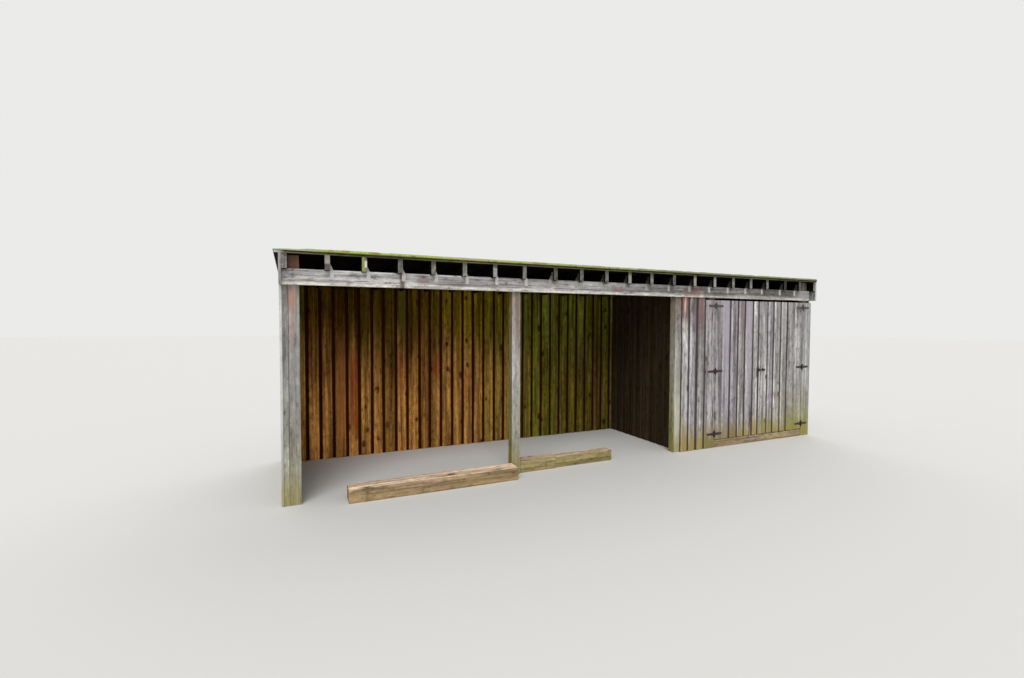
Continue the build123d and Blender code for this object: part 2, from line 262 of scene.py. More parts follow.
class Sawmill:
    """Gathers sawn pieces into one mesh, with the grain's own coordinates on every vertex."""
    section_spacing = 0.03
    board_spacing = 0.14

    def __init__(self, name):
        self.name = name
        self.luck = random.Random(name)
        self.points, self.faces, self.grain, self.tone = [], [], [], []

    def add(self, points, faces, grain, tone=None):
        start = len(self.points)
        self.points += points
        self.faces += [[start + n for n in face] for face in faces]
        self.grain += grain
        self.tone += [self.luck.random() if tone is None else tone] * len(points)

    def board(self, section, foot, across, along, height, fall=0.0, bend=1.0, start=0.0, luck=None):
        """A board with its section across and out of the face, and its length along.

        Its edges wander in front of the lip only, so that no light comes through the joints.
        """
        sizes = bpy.context.scene.log_boards
        luck = luck or self.luck
        tone, seed = luck.random(), luck.uniform(0, 900)
        cup = sizes.cup * luck.uniform(0.2, 1.0) * bend
        out = across.cross(along)
        section = divided(eased(section, sizes.eased_edge), self.section_spacing)
        left, right = min(p.x for p in section), max(p.x for p in section)
        rings = max(1 if start else 3, round(height / self.board_spacing))
        sway = sizes.waver * bend
        points, grain = [], []
        for ring in range(rings + 1):
            v = start + height * ring / rings
            drift = sway * noise.noise(Vector((seed, v * 0.8, 0)))
            for u, w in section:
                side = 2 * (u - left) / (right - left) - 1
                ripple = sway * 0.5 * noise.noise(Vector((u * 18, v * 4 + seed, w * 30)))
                sunk = sway * 0.3 * (1 + noise.noise(Vector((seed, v * 1.7, u * 9))))
                loose = 1.0 if w > -sizes.channel_depth * 0.95 or bend < 1 else 0.0
                x = u + (drift + ripple * abs(side)) * loose
                z = w - (cup * side * side + sunk) * loose
                y = v - start
                if ring == 0 and not start:
                    y += sizes.ragged * bend * max(0.0, noise.noise(Vector((u * 14, seed, 3))) + 0.25)
                if ring == rings:
                    y -= fall * u
                points.append(foot + across * x + along * y + out * z)
                grain.append((u, v, w))
        count = len(section)
        faces = []
        for ring, n in product(range(rings), range(count)):
            here, after = ring * count + n, ring * count + (n + 1) % count
            faces.append([here, after, after + count, here + count])
        faces += [list(range(count))[::-1], [rings * count + n for n in range(count)]]
        self.add(points, faces, grain, tone)

    def timber(self, node):
        """The node's own solids as sawn timbers, with eased edges and an uneven surface."""
        for solid in solids_in(node):
            self.saw(solid, bpy.context.scene.log_timber)
            solid.free()

    def saw(self, solid, sizes):
        spots = np.array([v.co for v in solid.verts])
        middle = spots.mean(0)
        axis = Vector(np.linalg.svd(spots - middle)[2][0])
        axis *= 1 if max(axis, key=abs) > 0 else -1
        middle = Vector(middle)
        side = axis.cross(UP if abs(axis.z) < 0.7 else BACK).normalized()
        out = side.cross(axis).normalized()
        bmesh.ops.bevel(solid, geom=solid.edges[:], offset=sizes.eased_edge, segments=2,
                        profile=0.6, affect="EDGES", clamp_overlap=True)
        reach = [(v.co - middle) @ axis for v in solid.verts]
        start, span = min(reach), max(reach) - min(reach)
        pieces = round(span / sizes.cut_spacing)
        for n in range(1, pieces):
            bmesh.ops.bisect_plane(solid, geom=solid.verts[:] + solid.edges[:] + solid.faces[:],
                                   plane_co=middle + axis * (start + span * n / pieces),
                                   plane_no=axis, dist=1e-5)
        solid.normal_update()
        seed = self.luck.uniform(0, 900)
        points, grain = [], []
        for v in solid.verts:
            local = v.co - middle
            place = Vector((local @ side, local @ axis, local @ out))
            worn = noise.noise(Vector((place.x * 12 + seed, place.y * 3.1, place.z * 12)))
            points.append(v.co - v.normal * sizes.saw_marks * (0.5 + 0.5 * worn))
            grain.append(tuple(place))
        solid.verts.index_update()
        self.add(points, [[v.index for v in face.verts] for face in solid.faces], grain)

    def piece(self, body, slot, finish, *nodes):
        """The gathered pieces as one object that rides on a body and stands for the nodes."""
        mesh = outward(self.name, self.points, self.faces)
        grain = mesh.attributes.new("grain", "FLOAT_VECTOR", "POINT")
        grain.data.foreach_set("vector", np.array(self.grain, np.float32).ravel())
        tone = mesh.attributes.new("tone", "FLOAT", "POINT")
        tone.data.foreach_set("value", np.array(self.tone, np.float32))
        mesh.shade_smooth()
        mesh.set_sharp_from_angle(angle=math.radians(32))
        return place_piece(self.name, mesh, body, slot, finish, *nodes)


def sawn(name, node, slot, finish, body="frame"):
    """A node's own solids, sawn and put in its place."""
    mill = Sawmill(name)
    mill.timber(node)
    mill.piece(body, slot, finish, node)


def outward(name, points, faces):
    """A mesh whose faces all look outwards."""
    mesh = bpy.data.meshes.new(name)
    mesh.from_pydata(points, [], faces)
    shape = bmesh.new()
    shape.from_mesh(mesh)
    bmesh.ops.recalc_face_normals(shape, faces=shape.faces)
    shape.to_mesh(mesh)
    shape.free()
    return mesh


def drawn_out(name, rows):
    """A closed, smooth shape through rings of points, one after the other."""
    count = len(rows[0])
    faces = []
    for row, n in product(range(len(rows) - 1), range(count)):
        here, after = row * count + n, row * count + (n + 1) % count
        faces.append((here, here + count, after + count, after))
    last = (len(rows) - 1) * count
    faces += [list(range(count)), list(range(last, last + count))[::-1]]
    mesh = outward(name, [point for row in rows for point in row], faces)
    mesh.shade_smooth()
    return mesh


def place_piece(name, mesh, body, slot, finish, *nodes):
    piece = bpy.data.objects.new(name, mesh)
    bpy.context.scene.collection.objects.link(piece)
    mesh.materials.append(finish)
    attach(piece, body)
    if nodes:
        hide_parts(*nodes)
    return piece


def solids_in(node):
    """The node's solids as meshes of their own."""
    whole = bmesh.new()
    whole.from_mesh(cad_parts[node].data)
    bmesh.ops.remove_doubles(whole, verts=whole.verts, dist=1e-5)
    bmesh.ops.dissolve_limit(whole, angle_limit=math.radians(0.5), verts=whole.verts, edges=whole.edges)
    yield from solids_of(whole)
    whole.free()


def solids_of(whole):
    """Each connected solid of a mesh as a mesh of its own, in the order of their first vertices."""
    whole.verts.index_update()
    whole.faces.index_update()
    seen = set()
    for first in whole.verts:
        if first in seen:
            continue
        group, edge = {first}, [first]
        while edge:
            vert = edge.pop()
            for link in vert.link_edges:
                other = link.other_vert(vert)
                if other not in group:
                    group.add(other)
                    edge.append(other)
        seen |= group
        group = sorted(group, key=lambda v: v.index)
        solid = bmesh.new()
        made = {vert: solid.verts.new(vert.co) for vert in group}
        for face in sorted({f for vert in group for f in vert.link_faces}, key=lambda f: f.index):
            solid.faces.new([made[v] for v in face.verts])
        solid.verts.index_update()
        yield solid


def channel_board(width, thick, channel, depth):
    """Section of a board whose thin lip runs behind its neighbour."""
    face = width - channel
    lip = width if channel >= 0.008 else face
    section = [(0, -thick), (0, -depth), (0, 0), (face, 0), (face, -depth)]
    return section + ([(lip, -depth)] if lip > face else []) + [(lip, -thick)]


def between(section, left, right):
    """The part of a board's section that lies between two places across it."""
    out = []
    for u, w in section:
        point = (min(max(u, left), right), w)
        if not out or point != out[-1]:
            out.append(point)
    return out[:-1] if out[0] == out[-1] else out


# Materials


class Finish:
    """A short way to write a material's nodes: each method adds one and returns its output.

    x, y and z are the place in the object, and skin is the colour so far.
    """

    def __init__(self, name, skin=None):
        self.material = bpy.data.materials.new(name)
        self.material.use_nodes = True
        self.tree = self.material.node_tree
        self.shader = self.tree.nodes["Principled BSDF"]
        self.skin = skin
        self.place = self.node("ShaderNodeTexCoord").outputs["Object"]
        self.x, self.y, self.z = self.split(self.place)

    def node(self, kind, *values, **settings):
        node = self.tree.nodes.new(kind)
        for key, value in settings.items():
            setattr(node, key, value)
        for key, value in enumerate(values):
            if value is not None:
                self.put(node.inputs[key], value)
        return node

    def put(self, socket, value):
        if isinstance(value, bpy.types.NodeSocket):
            self.tree.links.new(value, socket)
        elif socket.type == "RGBA" and len(value) == 3:
            socket.default_value = (*value, 1)
        else:
            socket.default_value = value

    def math(self, operation, a, b=None, c=None):
        return self.node("ShaderNodeMath", a, b, c, operation=operation).outputs[0]

    def times(self, value, *others):
        for other in others:
            value = self.math("MULTIPLY", value, other)
        return value

    def plus(self, a, b):
        return self.math("ADD", a, b)

    def minus(self, a, b):
        return self.math("SUBTRACT", a, b)

    def line(self, value, gain, start):
        return self.math("MULTIPLY_ADD", value, gain, start)

    def vector(self, operation, a, b=None):
        return self.node("ShaderNodeVectorMath", a, b, operation=operation).outputs[0]

    def split(self, vector):
        return self.node("ShaderNodeSeparateXYZ", vector).outputs[:3]

    def join(self, x, y, z):
        return self.node("ShaderNodeCombineXYZ", x, y, z).outputs[0]

    def attribute(self, name):
        return self.node("ShaderNodeAttribute", attribute_name=name)

    def noise(self, vector, detail=2.0, rough=0.5):
        node = self.node("ShaderNodeTexNoise")
        for name, value in (("Vector", vector), ("Scale", 1), ("Detail", detail), ("Roughness", rough)):
            self.put(node.inputs[name], value)
        return node.outputs[0]

    def speckle(self, scale, detail=2.0, rough=0.5):
        """Noise in the object, of one scale or of one for each direction."""
        scale = scale if isinstance(scale, tuple) else (scale,) * 3
        return self.noise(self.vector("MULTIPLY", self.place, scale), detail, rough)

    def cells(self, vector, **settings):
        node = self.node("ShaderNodeTexVoronoi", **settings)
        self.put(node.inputs["Vector"], vector)
        node.inputs["Scale"].default_value = 1
        return node

    def remap(self, value, low, high, to_low=0.0, to_high=1.0, smooth=True):
        node = self.node("ShaderNodeMapRange", value, low, high, to_low, to_high)
        node.interpolation_type = "SMOOTHSTEP" if smooth else "LINEAR"
        return node.outputs[0]

    def along(self, start, end, to_low=0.0, to_high=1.0):
        """A change between two places along the front."""
        return self.remap(self.x, on_front(start), on_front(end), to_low, to_high)

    def span(self, value, low, high, soft):
        """1 between two values, fading to 0 over a soft width on both sides."""
        rise = self.remap(value, low - soft, low + soft)
        return self.times(rise, self.remap(value, high - soft, high + soft, 1.0, 0.0))

    def mix(self, amount, a, b, blend="MIX"):
        node = self.node("ShaderNodeMix", data_type="RGBA", blend_type=blend)
        for key, value in ((0, amount), (6, a), (7, b)):
            self.put(node.inputs[key], value)
        return node.outputs[2]

    def coat(self, tint, *amounts):
        """Lay a colour over the skin, as strongly as the product of the amounts."""
        self.skin = self.mix(self.times(*amounts), self.skin, tint)

    def bump(self, height, distance, strength):
        node = self.node("ShaderNodeBump")
        for name, value in (("Strength", strength), ("Distance", distance), ("Height", height)):
            self.put(node.inputs[name], value)
        self.put(self.shader.inputs["Normal"], node.outputs[0])

    def done(self, rough, gloss=0.5):
        """The material, with its skin, roughness and gloss on the shader."""
        values = {"Base Color": self.skin, "Roughness": rough, "Specular IOR Level": gloss}
        for name, value in values.items():
            self.put(self.shader.inputs[name], value)
        return self.material


def wood(name, base, marks=(), knots=0.35, knot_size=1.0, streaks=1.0, moss=0.0, moss_top=0.5,
         recess=None, recess_shade=0.85, recess_tint=None, knot_tint=None, gloss=0.25, contrast=1.0):
    """Sawn wood: base lays its colour on, and the marks go over it in turn.

    u, v and w run across, along and out of the grain, luck is a piece's own three chances, streak
    and broad are thin and wide streaks.
    """
    f = Finish(name)
    tones = f.tones = bpy.context.scene.log_wood
    grain = f.attribute("grain").outputs["Vector"]
    dice = f.node("ShaderNodeTexWhiteNoise", noise_dimensions="1D")
    f.put(dice.inputs["W"], f.times(f.attribute("tone").outputs["Fac"], 97.0))
    chance = dice.outputs["Color"]
    f.luck = f.split(chance)
    away = f.vector("MULTIPLY", chance, (40.0, 40.0, 40.0))
    f.u, f.v, f.w = f.split(grain)

    def grained(across, along, detail=2.0, rough=0.5):
        """Noise that is scaled across and along the grain, different on each piece."""
        stretched = f.vector("MULTIPLY", grain, (across, along, across))
        return f.noise(f.vector("ADD", stretched, away), detail, rough)

    # Knots push the grain aside
    cells = f.cells(f.vector("ADD", f.vector("MULTIPLY", grain, (5.5, 2.9, 0.0)), away),
                    voronoi_dimensions="2D")
    distance = cells.outputs["Distance"]
    chosen, size = f.split(cells.outputs["Color"])[:2]
    present = f.math("LESS_THAN", chosen, knots)
    near = f.remap(distance, 0.0, 0.34, 1.0, 0.0)
    swell = f.times(near, near, present)
    rim = f.minus(distance, f.times(size, 0.07))
    knot = f.times(f.remap(rim, 0.05 * knot_size, 0.09 * knot_size, 1.0, 0.0), present)

    # Growth rings around a pith outside the piece
    bent = f.line(f.minus(grained(5.0, 1.0), 0.5), 0.035, f.u)
    pith = f.line(f.luck[0], 0.22, -0.11)
    lean = f.times(f.minus(f.luck[1], 0.5), 0.03)
    sideways = f.minus(f.minus(bent, pith), f.times(f.v, lean))
    under = f.plus(f.w, f.line(f.luck[2], 0.08, 0.035))
    radius = f.math("SQRT", f.plus(f.times(sideways, sideways), f.times(under, under)))
    rings = f.line(swell, 2.6, f.times(radius, 210.0))
    rings = f.plus(rings, f.times(grained(20.0, 2.0, 1.0), 2.0))
    ring = f.line(f.math("SINE", f.times(rings, 6.283)), 0.5, 0.5)

    # Fibres, streaks, cracks and flecks
    fibre = grained(330.0, 5.0, 3.0, 0.6)
    wide, thin = grained(25.0, 0.9, 2.0, 0.55), grained(72.0, 1.5, 2.0, 0.60)
    f.streak = f.remap(f.line(wide, 0.62, f.times(thin, 0.38)), 0.37, 0.63)
    f.broad = f.remap(grained(11.0, 0.55), 0.32, 0.68)
    split = f.math("ABSOLUTE", f.minus(grained(75.0, 0.8, 1.0), 0.5))
    crack = f.times(f.remap(split, 0.006, 0.022, 1.0, 0.0), f.remap(grained(9.0, 1.7, 1.0), 0.50, 0.62))
    flecks = grained(31.0, 10.0, 4.0, 0.70)
    bright = f.remap(flecks, 0.53, 0.65, 0.0, 0.42 * contrast)
    dark = f.remap(flecks, 0.47, 0.35, 0.0, 0.52 * contrast)

    base(f)
    shade = f.times(
        f.line(f.streak, 0.74 * streaks, 1 - 0.48 * streaks),
        f.line(fibre, 0.44 * contrast, 1 - 0.22 * contrast),
        f.line(ring, 0.20 * contrast, 1 - 0.12 * contrast),
        f.line(f.luck[1], 0.24, 0.88),
        f.plus(f.minus(1.0, dark), bright),
    )
    f.skin = f.mix(1.0, f.skin, f.join(shade, shade, shade), "MULTIPLY")
    f.coat(tones.soot, crack, 0.75)
    f.coat(knot_tint or tones.umber, swell, 0.35)
    f.coat(knot_tint or tones.knot, knot, 0.85)

    ragged = f.minus(grained(16.0, 2.4, 3.0, 0.6), 0.5)
    for mark in marks:
        f.coat(mark.tint, *where_marked(f, mark, ragged))
    if moss:
        grown = f.remap(f.plus(f.z, f.times(ragged, 0.55)), 0.02, moss_top, 1.0, 0.0)
        f.coat(tones.straw, grown, moss)
        f.coat(tones.algae, grown, f.remap(grained(24.0, 6.0, 3.0, 0.7), 0.42, 0.62), moss)
    # Painted shade darkens the recesses between the boards.
    if recess:
        f.coat(recess_tint or tones.soot, f.remap(f.w, -recess * 0.35, -recess * 0.9, 0.0, recess_shade))

    height = f.plus(f.line(fibre, 0.45, f.times(ring, 0.35)), f.times(f.streak, 0.25))
    f.bump(f.minus(height, f.times(crack, 1.3)), GRAIN_DEPTH, 0.8)
    return f.done(f.line(fibre, 0.16, 0.78), gloss)


# A soft-edged mark on the front: from and to along it, lowest and highest, colour, strength, softness
# up and down, how torn it is along the grain, softness sideways, how much the streaks break it up, and
# the depth at which it ends.
Mark = namedtuple("Mark", "left right low high tint strength soft torn soft_x streaky deep",
                  defaults=(0.006, 0.02, 0.020, 0.0, None))


def where_marked(f, mark, ragged):
    """The amounts whose product says where a mark lies."""
    wobble = f.times(ragged, mark.torn)
    sideways, upward = f.line(wobble, 0.1, f.x), f.plus(f.z, wobble)
    yield f.span(sideways, on_front(mark.left), on_front(mark.right), mark.soft_x)
    yield f.span(upward, mark.low, mark.high, mark.soft)
    if mark.streaky:
        yield f.remap(f.streak, 0.1, 0.75, 1.0, 1 - mark.streaky)
    yield mark.strength
    if mark.deep is not None:
        yield f.remap(f.y, mark.deep, mark.deep + 0.004, 1.0, 0.0)


def front_marks():
    """Stains on the boards beside the doors and on the doors."""
    tones = bpy.context.scene.log_wood
    umber, russet, soot = tones.umber, tones.russet, tones.soot
    pinkish, violet, pale_pink = colour(146, 120, 130), colour(176, 164, 177), colour(188, 168, 160)
    rows = (
        (4850, 4992, 1.72, 2.2, umber, 0.78, 0.16, 0.6, 0.012, 0.6),
        (4990, 5106, 1.68, 2.2, russet, 0.85, 0.14, 0.5, 0.010, 0.3),
        (4862, 4900, 1.86, 1.96, soot, 0.60, 0.03, 0.1, 0.010),
        (4886, 4922, 1.60, 1.69, soot, 0.50, 0.03, 0.1, 0.010),
        (4735, 4775, 1.62, 1.86, pale_pink, 0.60, 0.08, 0.3, 0.010),
        (4706, 4826, 1.80, 2.2, russet, 0.88, 0.08, 0.4, 0.012, 0.3),
        (4700, 4740, 1.74, 2.2, umber, 0.70, 0.10, 0.4, 0.008, 0.3),
        (4776, 4830, 1.74, 2.2, umber, 0.75, 0.10, 0.4, 0.008, 0.3),
        (4742, 4774, 1.90, 2.2, tones.fresh, 0.95, 0.05, 0.35, 0.006, 0.15),
        (4722, 4760, 2.00, 2.2, colour(168, 104, 72), 0.75, 0.03, 0.2, 0.010),
        (4846, 5131, 1.62, 2.2, colour(104, 90, 88), 0.30, 0.12, 0.5, 0.036, 0.4),
        (5448, 5600, 0.90, 2.2, colour(200, 194, 204), 0.40, 0.15, 0.5, 0.010, 0.2),
        (5756, 5886, 0.70, 2.2, colour(92, 86, 90), 0.28, 0.15, 0.5, 0.010, 0.2),
        (5896, 6048, 0.60, 2.2, colour(206, 198, 206), 0.34, 0.15, 0.5, 0.010, 0.2),
        (6556, 6720, 1.30, 2.2, colour(204, 198, 200), 0.26, 0.15, 0.5, 0.010, 0.2),
        (6925, 7112, 0.42, 0.90, colour(108, 102, 98), 0.32, 0.10, 0.4, 0.030, 0.2),
        (6925, 7246, 0.42, 1.32, colour(112, 106, 98), 0.34, 0.16, 0.4, 0.048, 0.3),
        (5050, 5118, 1.12, 1.34, soot, 0.45, 0.06, 0.4, 0.015, 0.5),
        (4768, 4826, 1.45, 1.84, soot, 0.50, 0.10, 0.5, 0.020, 0.6),
        (5180, 5450, 0.2, 2.05, umber, 0.16, 0.10, 0.3, 0.040, 0.6),
        (5205, 5420, 1.74, 2.03, soot, 0.42, 0.10, 0.4, 0.030, 0.8),
        (5205, 5420, 0.86, 1.03, soot, 0.42, 0.06, 0.3, 0.030, 0.7),
        (5455, 5590, 1.40, 1.86, violet, 0.45, 0.12, 0.4, 0.020, 0.4),
        (5752, 5880, 1.60, 2.2, pinkish, 0.60, 0.20, 0.6, 0.012, 0.5),
        (5888, 6030, 1.60, 2.2, violet, 0.55, 0.20, 0.6, 0.012, 0.3),
        (6104, 6168, 0.93, 1.08, soot, 0.70, 0.03, 0.1, 0.012),
        (6930, 7060, 1.90, 1.98, soot, 0.50, 0.04, 0.15, 0.020),
        (6955, 6995, 1.76, 1.92, soot, 0.35, 0.04, 0.1, 0.010),
        (6952, 6984, 1.66, 1.72, soot, 0.60, 0.02, 0.05, 0.008),
        (7130, 7240, 0.75, 2.2, colour(206, 212, 210), 0.18, 0.10, 0.1, 0.004),
        (6480, 6920, 0.30, 0.72, colour(136, 128, 98), 0.45, 0.15, 0.5, 0.030, 0.5),
        (4600, 7300, -0.2, 0.26, tones.straw, 0.86, 0.19, 0.9, 0.030),
        (5300, 5760, 0.0, 0.24, umber, 0.35, 0.12, 0.3, 0.030, 0.5),
        (5140, 5306, -0.2, 0.17, colour(80, 94, 36), 0.50, 0.07, 0.4, 0.020, 0.3),
        (6240, 7300, -0.2, 0.38, tones.algae, 0.50, 0.18, 0.7, 0.100, 0.5),
        (6850, 7300, -0.2, 0.62, tones.algae, 0.50, 0.20, 0.7, 0.150, 0.4),
    )
    return [Mark(*row) for row in rows]


def beam_marks():
    """Two knots, the dark shakes and the ends of the front beam."""
    tones = bpy.context.scene.log_wood
    grey, brown = colour(104, 100, 98), colour(126, 96, 88)
    shakes = ((120, 225), (420, 540), (575, 720), (860, 1040), (1310, 1530), (1550, 1680), (2170, 2270),
              (2760, 2900), (3130, 3420), (3950, 4180), (4420, 4560))
    return [Mark(left, right, 2.099 + 0.003 * (n % 3), 2.106 + 0.003 * (n % 3), grey, 0.85, 0.004)
            for n, (left, right) in enumerate(shakes)] + [
        Mark(26, 60, 2.118, 2.162, grey, 0.75, 0.010),
        Mark(6, 56, 2.094, 2.106, grey, 0.60),
        Mark(1195, 1310, 2.104, 2.196, brown, 0.55, 0.020, 0.05),
        Mark(1232, 1276, 2.160, 2.192, tones.umber, 0.70, 0.010),
        Mark(3560, 3740, 2.090, 2.170, brown, 0.55, 0.020, 0.06),
        Mark(4700, 4990, 2.062, 2.200, tones.russet, 0.40, 0.030, 0.10),
        Mark(6900, 7320, 2.040, 2.220, tones.silver, 0.45, 0.030, 0.05, 0.12),
    ]


def post_marks():
    """Reddish damp wood high on the left post, and paler wood low on the partition's."""
    rosy = colour(176, 132, 112)
    rows = (
        (-10, 110, 2.20, 2.40, colour(124, 82, 56), 0.85, 0.01),
        (2, 66, 1.84, 2.03, rosy, 0.75, 0.06, 0.15),
        (2, 60, 1.55, 1.90, rosy, 0.35, 0.10, 0.20),
        (-10, 8, 0.30, 2.06, bpy.context.scene.log_wood.umber, 0.55, 0.05, 0.02, 0.004),
        (8, 110, 0.85, 1.50, colour(116, 120, 104), 0.16, 0.20, 0.3),
        (-10, 110, -0.1, 0.60, colour(206, 206, 170), 0.10, 0.15, 0.2),
        (2255, 2375, 1.30, 2.30, colour(120, 94, 72), 0.30, 0.25, 0.3),
        (4623, 4725, -0.1, 0.66, colour(210, 208, 184), 0.66, 0.14, 0.2, 0.004),
        (4623, 4725, 0.60, 1.40, colour(196, 194, 174), 0.24, 0.16, 0.3, 0.004),
    )
    return [Mark(*row) for row in rows]


def rafter_marks():
    """Dim and light ends of single rafters, the second one's brown and the third one's green end."""
    dim, lit = colour(44, 46, 34), colour(220, 222, 208)
    marks = [Mark(x - 5, x + 53, 2.15, 2.40, dim, strength) for x, strength in
             ((987, 0.35), (2731, 0.55), (3077, 0.40), (3427, 0.25), (4465, 0.45), (6552, 0.90),
              (6873, 0.50))]
    marks += [Mark(x - 5, x + 53, 2.20, 2.30, lit, 0.18) for x in (0, 1992, 3765, 4815, 5165)]
    marks += [Mark(280, 385, 2.20, 2.255, bpy.context.scene.log_wood.umber, 0.75, 0.01),
              Mark(280, 385, 2.26, 2.34, colour(176, 166, 150), 0.50, 0.01),
              Mark(630, 672, 2.17, 2.34, colour(150, 156, 70), 0.80, 0.01, 0.02, 0.006),
              Mark(672, 715, 2.24, 2.30, colour(236, 232, 220), 0.80, 0.01, 0.02, 0.006)]
    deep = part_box("rafters")[0].y + 0.001
    return [mark._replace(deep=deep) for mark in marks]


def sheltered_marks():
    """Reddish, dark and olive stretches of some boards of the back wall."""
    red, dark = colour(150, 56, 26), colour(42, 12, 2)
    rows = (
        (748, 800, 0.2, 2.2, dark, 0.62, 0.05, 0.02, 0.006),
        (520, 670, 0.2, 1.30, colour(226, 140, 72), 0.30, 0.18, 0.3),
        (690, 800, 0.3, 1.28, colour(180, 78, 40), 0.50, 0.18, 0.3),
        (1445, 1490, 1.25, 2.2, dark, 0.70, 0.08, 0.02, 0.006),
        (1320, 1430, 1.55, 2.2, colour(92, 98, 34), 0.55, 0.15, 0.3),
        (1300, 1420, 0.8, 1.15, red, 0.25, 0.15, 0.4),
        (1760, 1860, 0.9, 1.26, red, 0.50, 0.15, 0.3),
        (1770, 1800, 1.3, 2.2, dark, 0.60, 0.08, 0.02, 0.006),
        (2330, 2370, 0.6, 1.60, dark, 0.60, 0.10, 0.02, 0.008),
        (2220, 2330, 0.7, 1.10, red, 0.28, 0.12, 0.3),
        (2420, 2450, 1.3, 2.2, dark, 0.45, 0.08, 0.02, 0.006),
    )
    return [Mark(*row) for row in rows]


def pale_corner():
    """The pale sawn edge of the left wall's last board."""
    return Mark(-90, -40, -0.2, 2.4, colour(214, 220, 214), 0.50, 0.02, deep=POST_FACE + 0.003)


def pale_end():
    """The pale board that closes the right end of the beam."""
    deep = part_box("beam_end_boards")[0].y + 0.003
    return Mark(7190, 7340, 1.9, 2.4, colour(210, 224, 206), 0.65, 0.02, deep=deep)


def weathered_base(f, lilac=1.0):
    """Grey wood that differs from piece to piece."""
    f.skin = f.tones.silver
    f.coat(f.tones.lilac, f.remap(f.luck[2], 0.35, 0.75, 0.0, lilac))
    f.coat(f.tones.ash, f.broad, 0.70)


def silver_base(f):
    """Grey boards out in the rain: a painted highlight along the left edge of some, and brown backs."""
    weathered_base(f)
    # Painted highlight along the left edge of some boards.
    edge = f.remap(f.plus(f.u, f.times(f.broad, 0.024)), 0.030, 0.052, 1.0, 0.0)
    f.coat((0.62, 0.61, 0.60), edge, f.remap(f.luck[0], 0.25, 0.45, 0.0, 0.62))
    f.coat(f.tones.dark_inside, f.remap(f.w, *BOARD_BACK))


def outside_base(f):
    """Boards of the back and sides, grey outside and brown inside."""
    weathered_base(f, lilac=0.4)
    f.coat(f.tones.sheltered_top, f.remap(f.w, *BOARD_BACK))


def dark_base(f):
    """Brown wood that no rain reaches."""
    f.skin = f.tones.dark_inside
    f.coat(f.tones.soot, f.broad, 0.5)


def beam_base(f):
    """Beam that is silver at the left and darker towards the tool room, with a washed lower edge."""
    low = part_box("front_beam_left")[0]
    f.skin = f.tones.silver
    f.coat(f.tones.ash, f.broad, 0.35)
    dark = f.remap(f.x, low.x + 1.1, low.x + 5.4, 0.0, 0.95, smooth=False)
    f.coat((0.100, 0.090, 0.084), dark, f.remap(f.broad, 0.0, 1.0, 0.60, 1.0))
    f.coat(f.tones.umber, f.span(f.x, on_front(4760), on_front(5100), 0.12), 0.45)
    edge = f.line(f.broad, -0.012, f.z)
    f.coat(f.tones.beige, f.remap(edge, low.z + 0.012, low.z + 0.050, 0.70, 0.0))


def post_base(f):
    """Front posts: silver, browner near the top, greener near the ground, with painted shade on their
    sides.
    """
    tones = f.tones
    first = f.along(150, 300, 1.0, 0.0)
    f.skin = tones.silver
    f.coat(tones.ash, f.line(f.broad, 0.6, 0.14))
    f.coat(tones.ash, f.span(f.z, 0.55, 1.62, 0.12), first, 0.42)
    f.coat((0.72, 0.69, 0.64), f.span(f.z, 0.45, 1.50, 0.2), f.line(first, -0.30, 0.30))
    f.coat(colour(134, 112, 88), f.remap(f.z, 1.45, 2.00), f.line(first, -0.44, 0.50))
    # The faces behind the front get an olive tint and painted shade, strongest at the left.
    side = f.remap(f.y, POST_FACE + 0.006, POST_FACE + 0.020, 0.0, 0.55)
    f.coat(f.mix(f.along(2400, 4600), tones.straw, colour(150, 148, 128)), side)
    f.coat(tones.dark_inside, side, f.along(2400, 4600, 0.66, 0.06))
    green = f.remap(f.z, 0.1, 1.3, 0.34, 0.0)
    f.coat(tones.algae, f.plus(green, f.times(side, f.remap(f.z, 0.5, 1.2, 0.62, 0.25))))


def sheltered_base(f):
    """Boards under the roof: dark at the top and orange brown lower down, more olive to the right, with a
    painted shadow close under the roof and painted light low at the left.
    """
    tones = f.tones
    ochre, olive = f.along(650, 2500), f.along(2500, 3300)
    top = f.mix(olive, f.mix(ochre, tones.sheltered_top, tones.sheltered_ochre), tones.sheltered_olive)
    f.skin = tones.sheltered_low
    f.coat(tones.sheltered_olive, ochre, 0.16)
    f.coat(tones.sheltered_olive, olive, 0.75)
    # Painted light low down at the left of the first bay.
    f.coat(colour(250, 176, 96), f.remap(f.z, 0.60, 1.20, 1.0, 0.0), f.along(700, 1800, 1.0, 0.0))
    f.coat(top, f.remap(f.line(f.broad, 0.25, f.z), 1.08, 1.98))
    # Painted shadow along the top of the wall, close under the roof.
    f.coat(tones.under_roof, f.remap(f.z, 2.10, 2.17, 0.0, 0.45))
    f.coat(colour(44, 36, 12), f.along(3000, 3600), f.remap(f.z, 1.2, 2.0, 0.42, 0.0))
    f.coat(tones.sheltered_olive, f.remap(f.luck[0], 0.66, 0.80, 0.0, 0.38))
    f.coat(tones.sheltered_red, f.remap(f.luck[2], 0.76, 0.86, 0.0, 0.50))
    f.coat(tones.sheltered_recess, f.broad, 0.35)


def rafter_base(f):
    """Rafters, grey on their end faces, with a painted shadow high on the tails and painted shade on every
    other face.
    """
    tones = f.tones
    low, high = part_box("rafters")
    f.skin = tones.silver
    f.coat(tones.ash, f.broad, 0.5)
    f.coat(tones.ash, 0.62)
    f.coat(tones.algae, f.remap(f.luck[0], 0.4, 0.9), 0.25)
    # Painted shadow high on the tails, under the roof's edge.
    f.coat(colour(58, 58, 38), f.remap(f.z, 2.275, 2.345, 0.0, 0.75))
    # Painted shade on every face but the ends: near black at the front, dark brown deep inside.
    ends = f.math("MINIMUM", f.minus(f.y, low.y), f.minus(high.y, f.y))
    inside = f.mix(f.remap(f.y, low.y + 0.9, low.y + 1.3), tones.under_roof, colour(46, 36, 14))
    f.coat(inside, f.remap(ends, 0.001, 0.005, 0.0, 0.99))


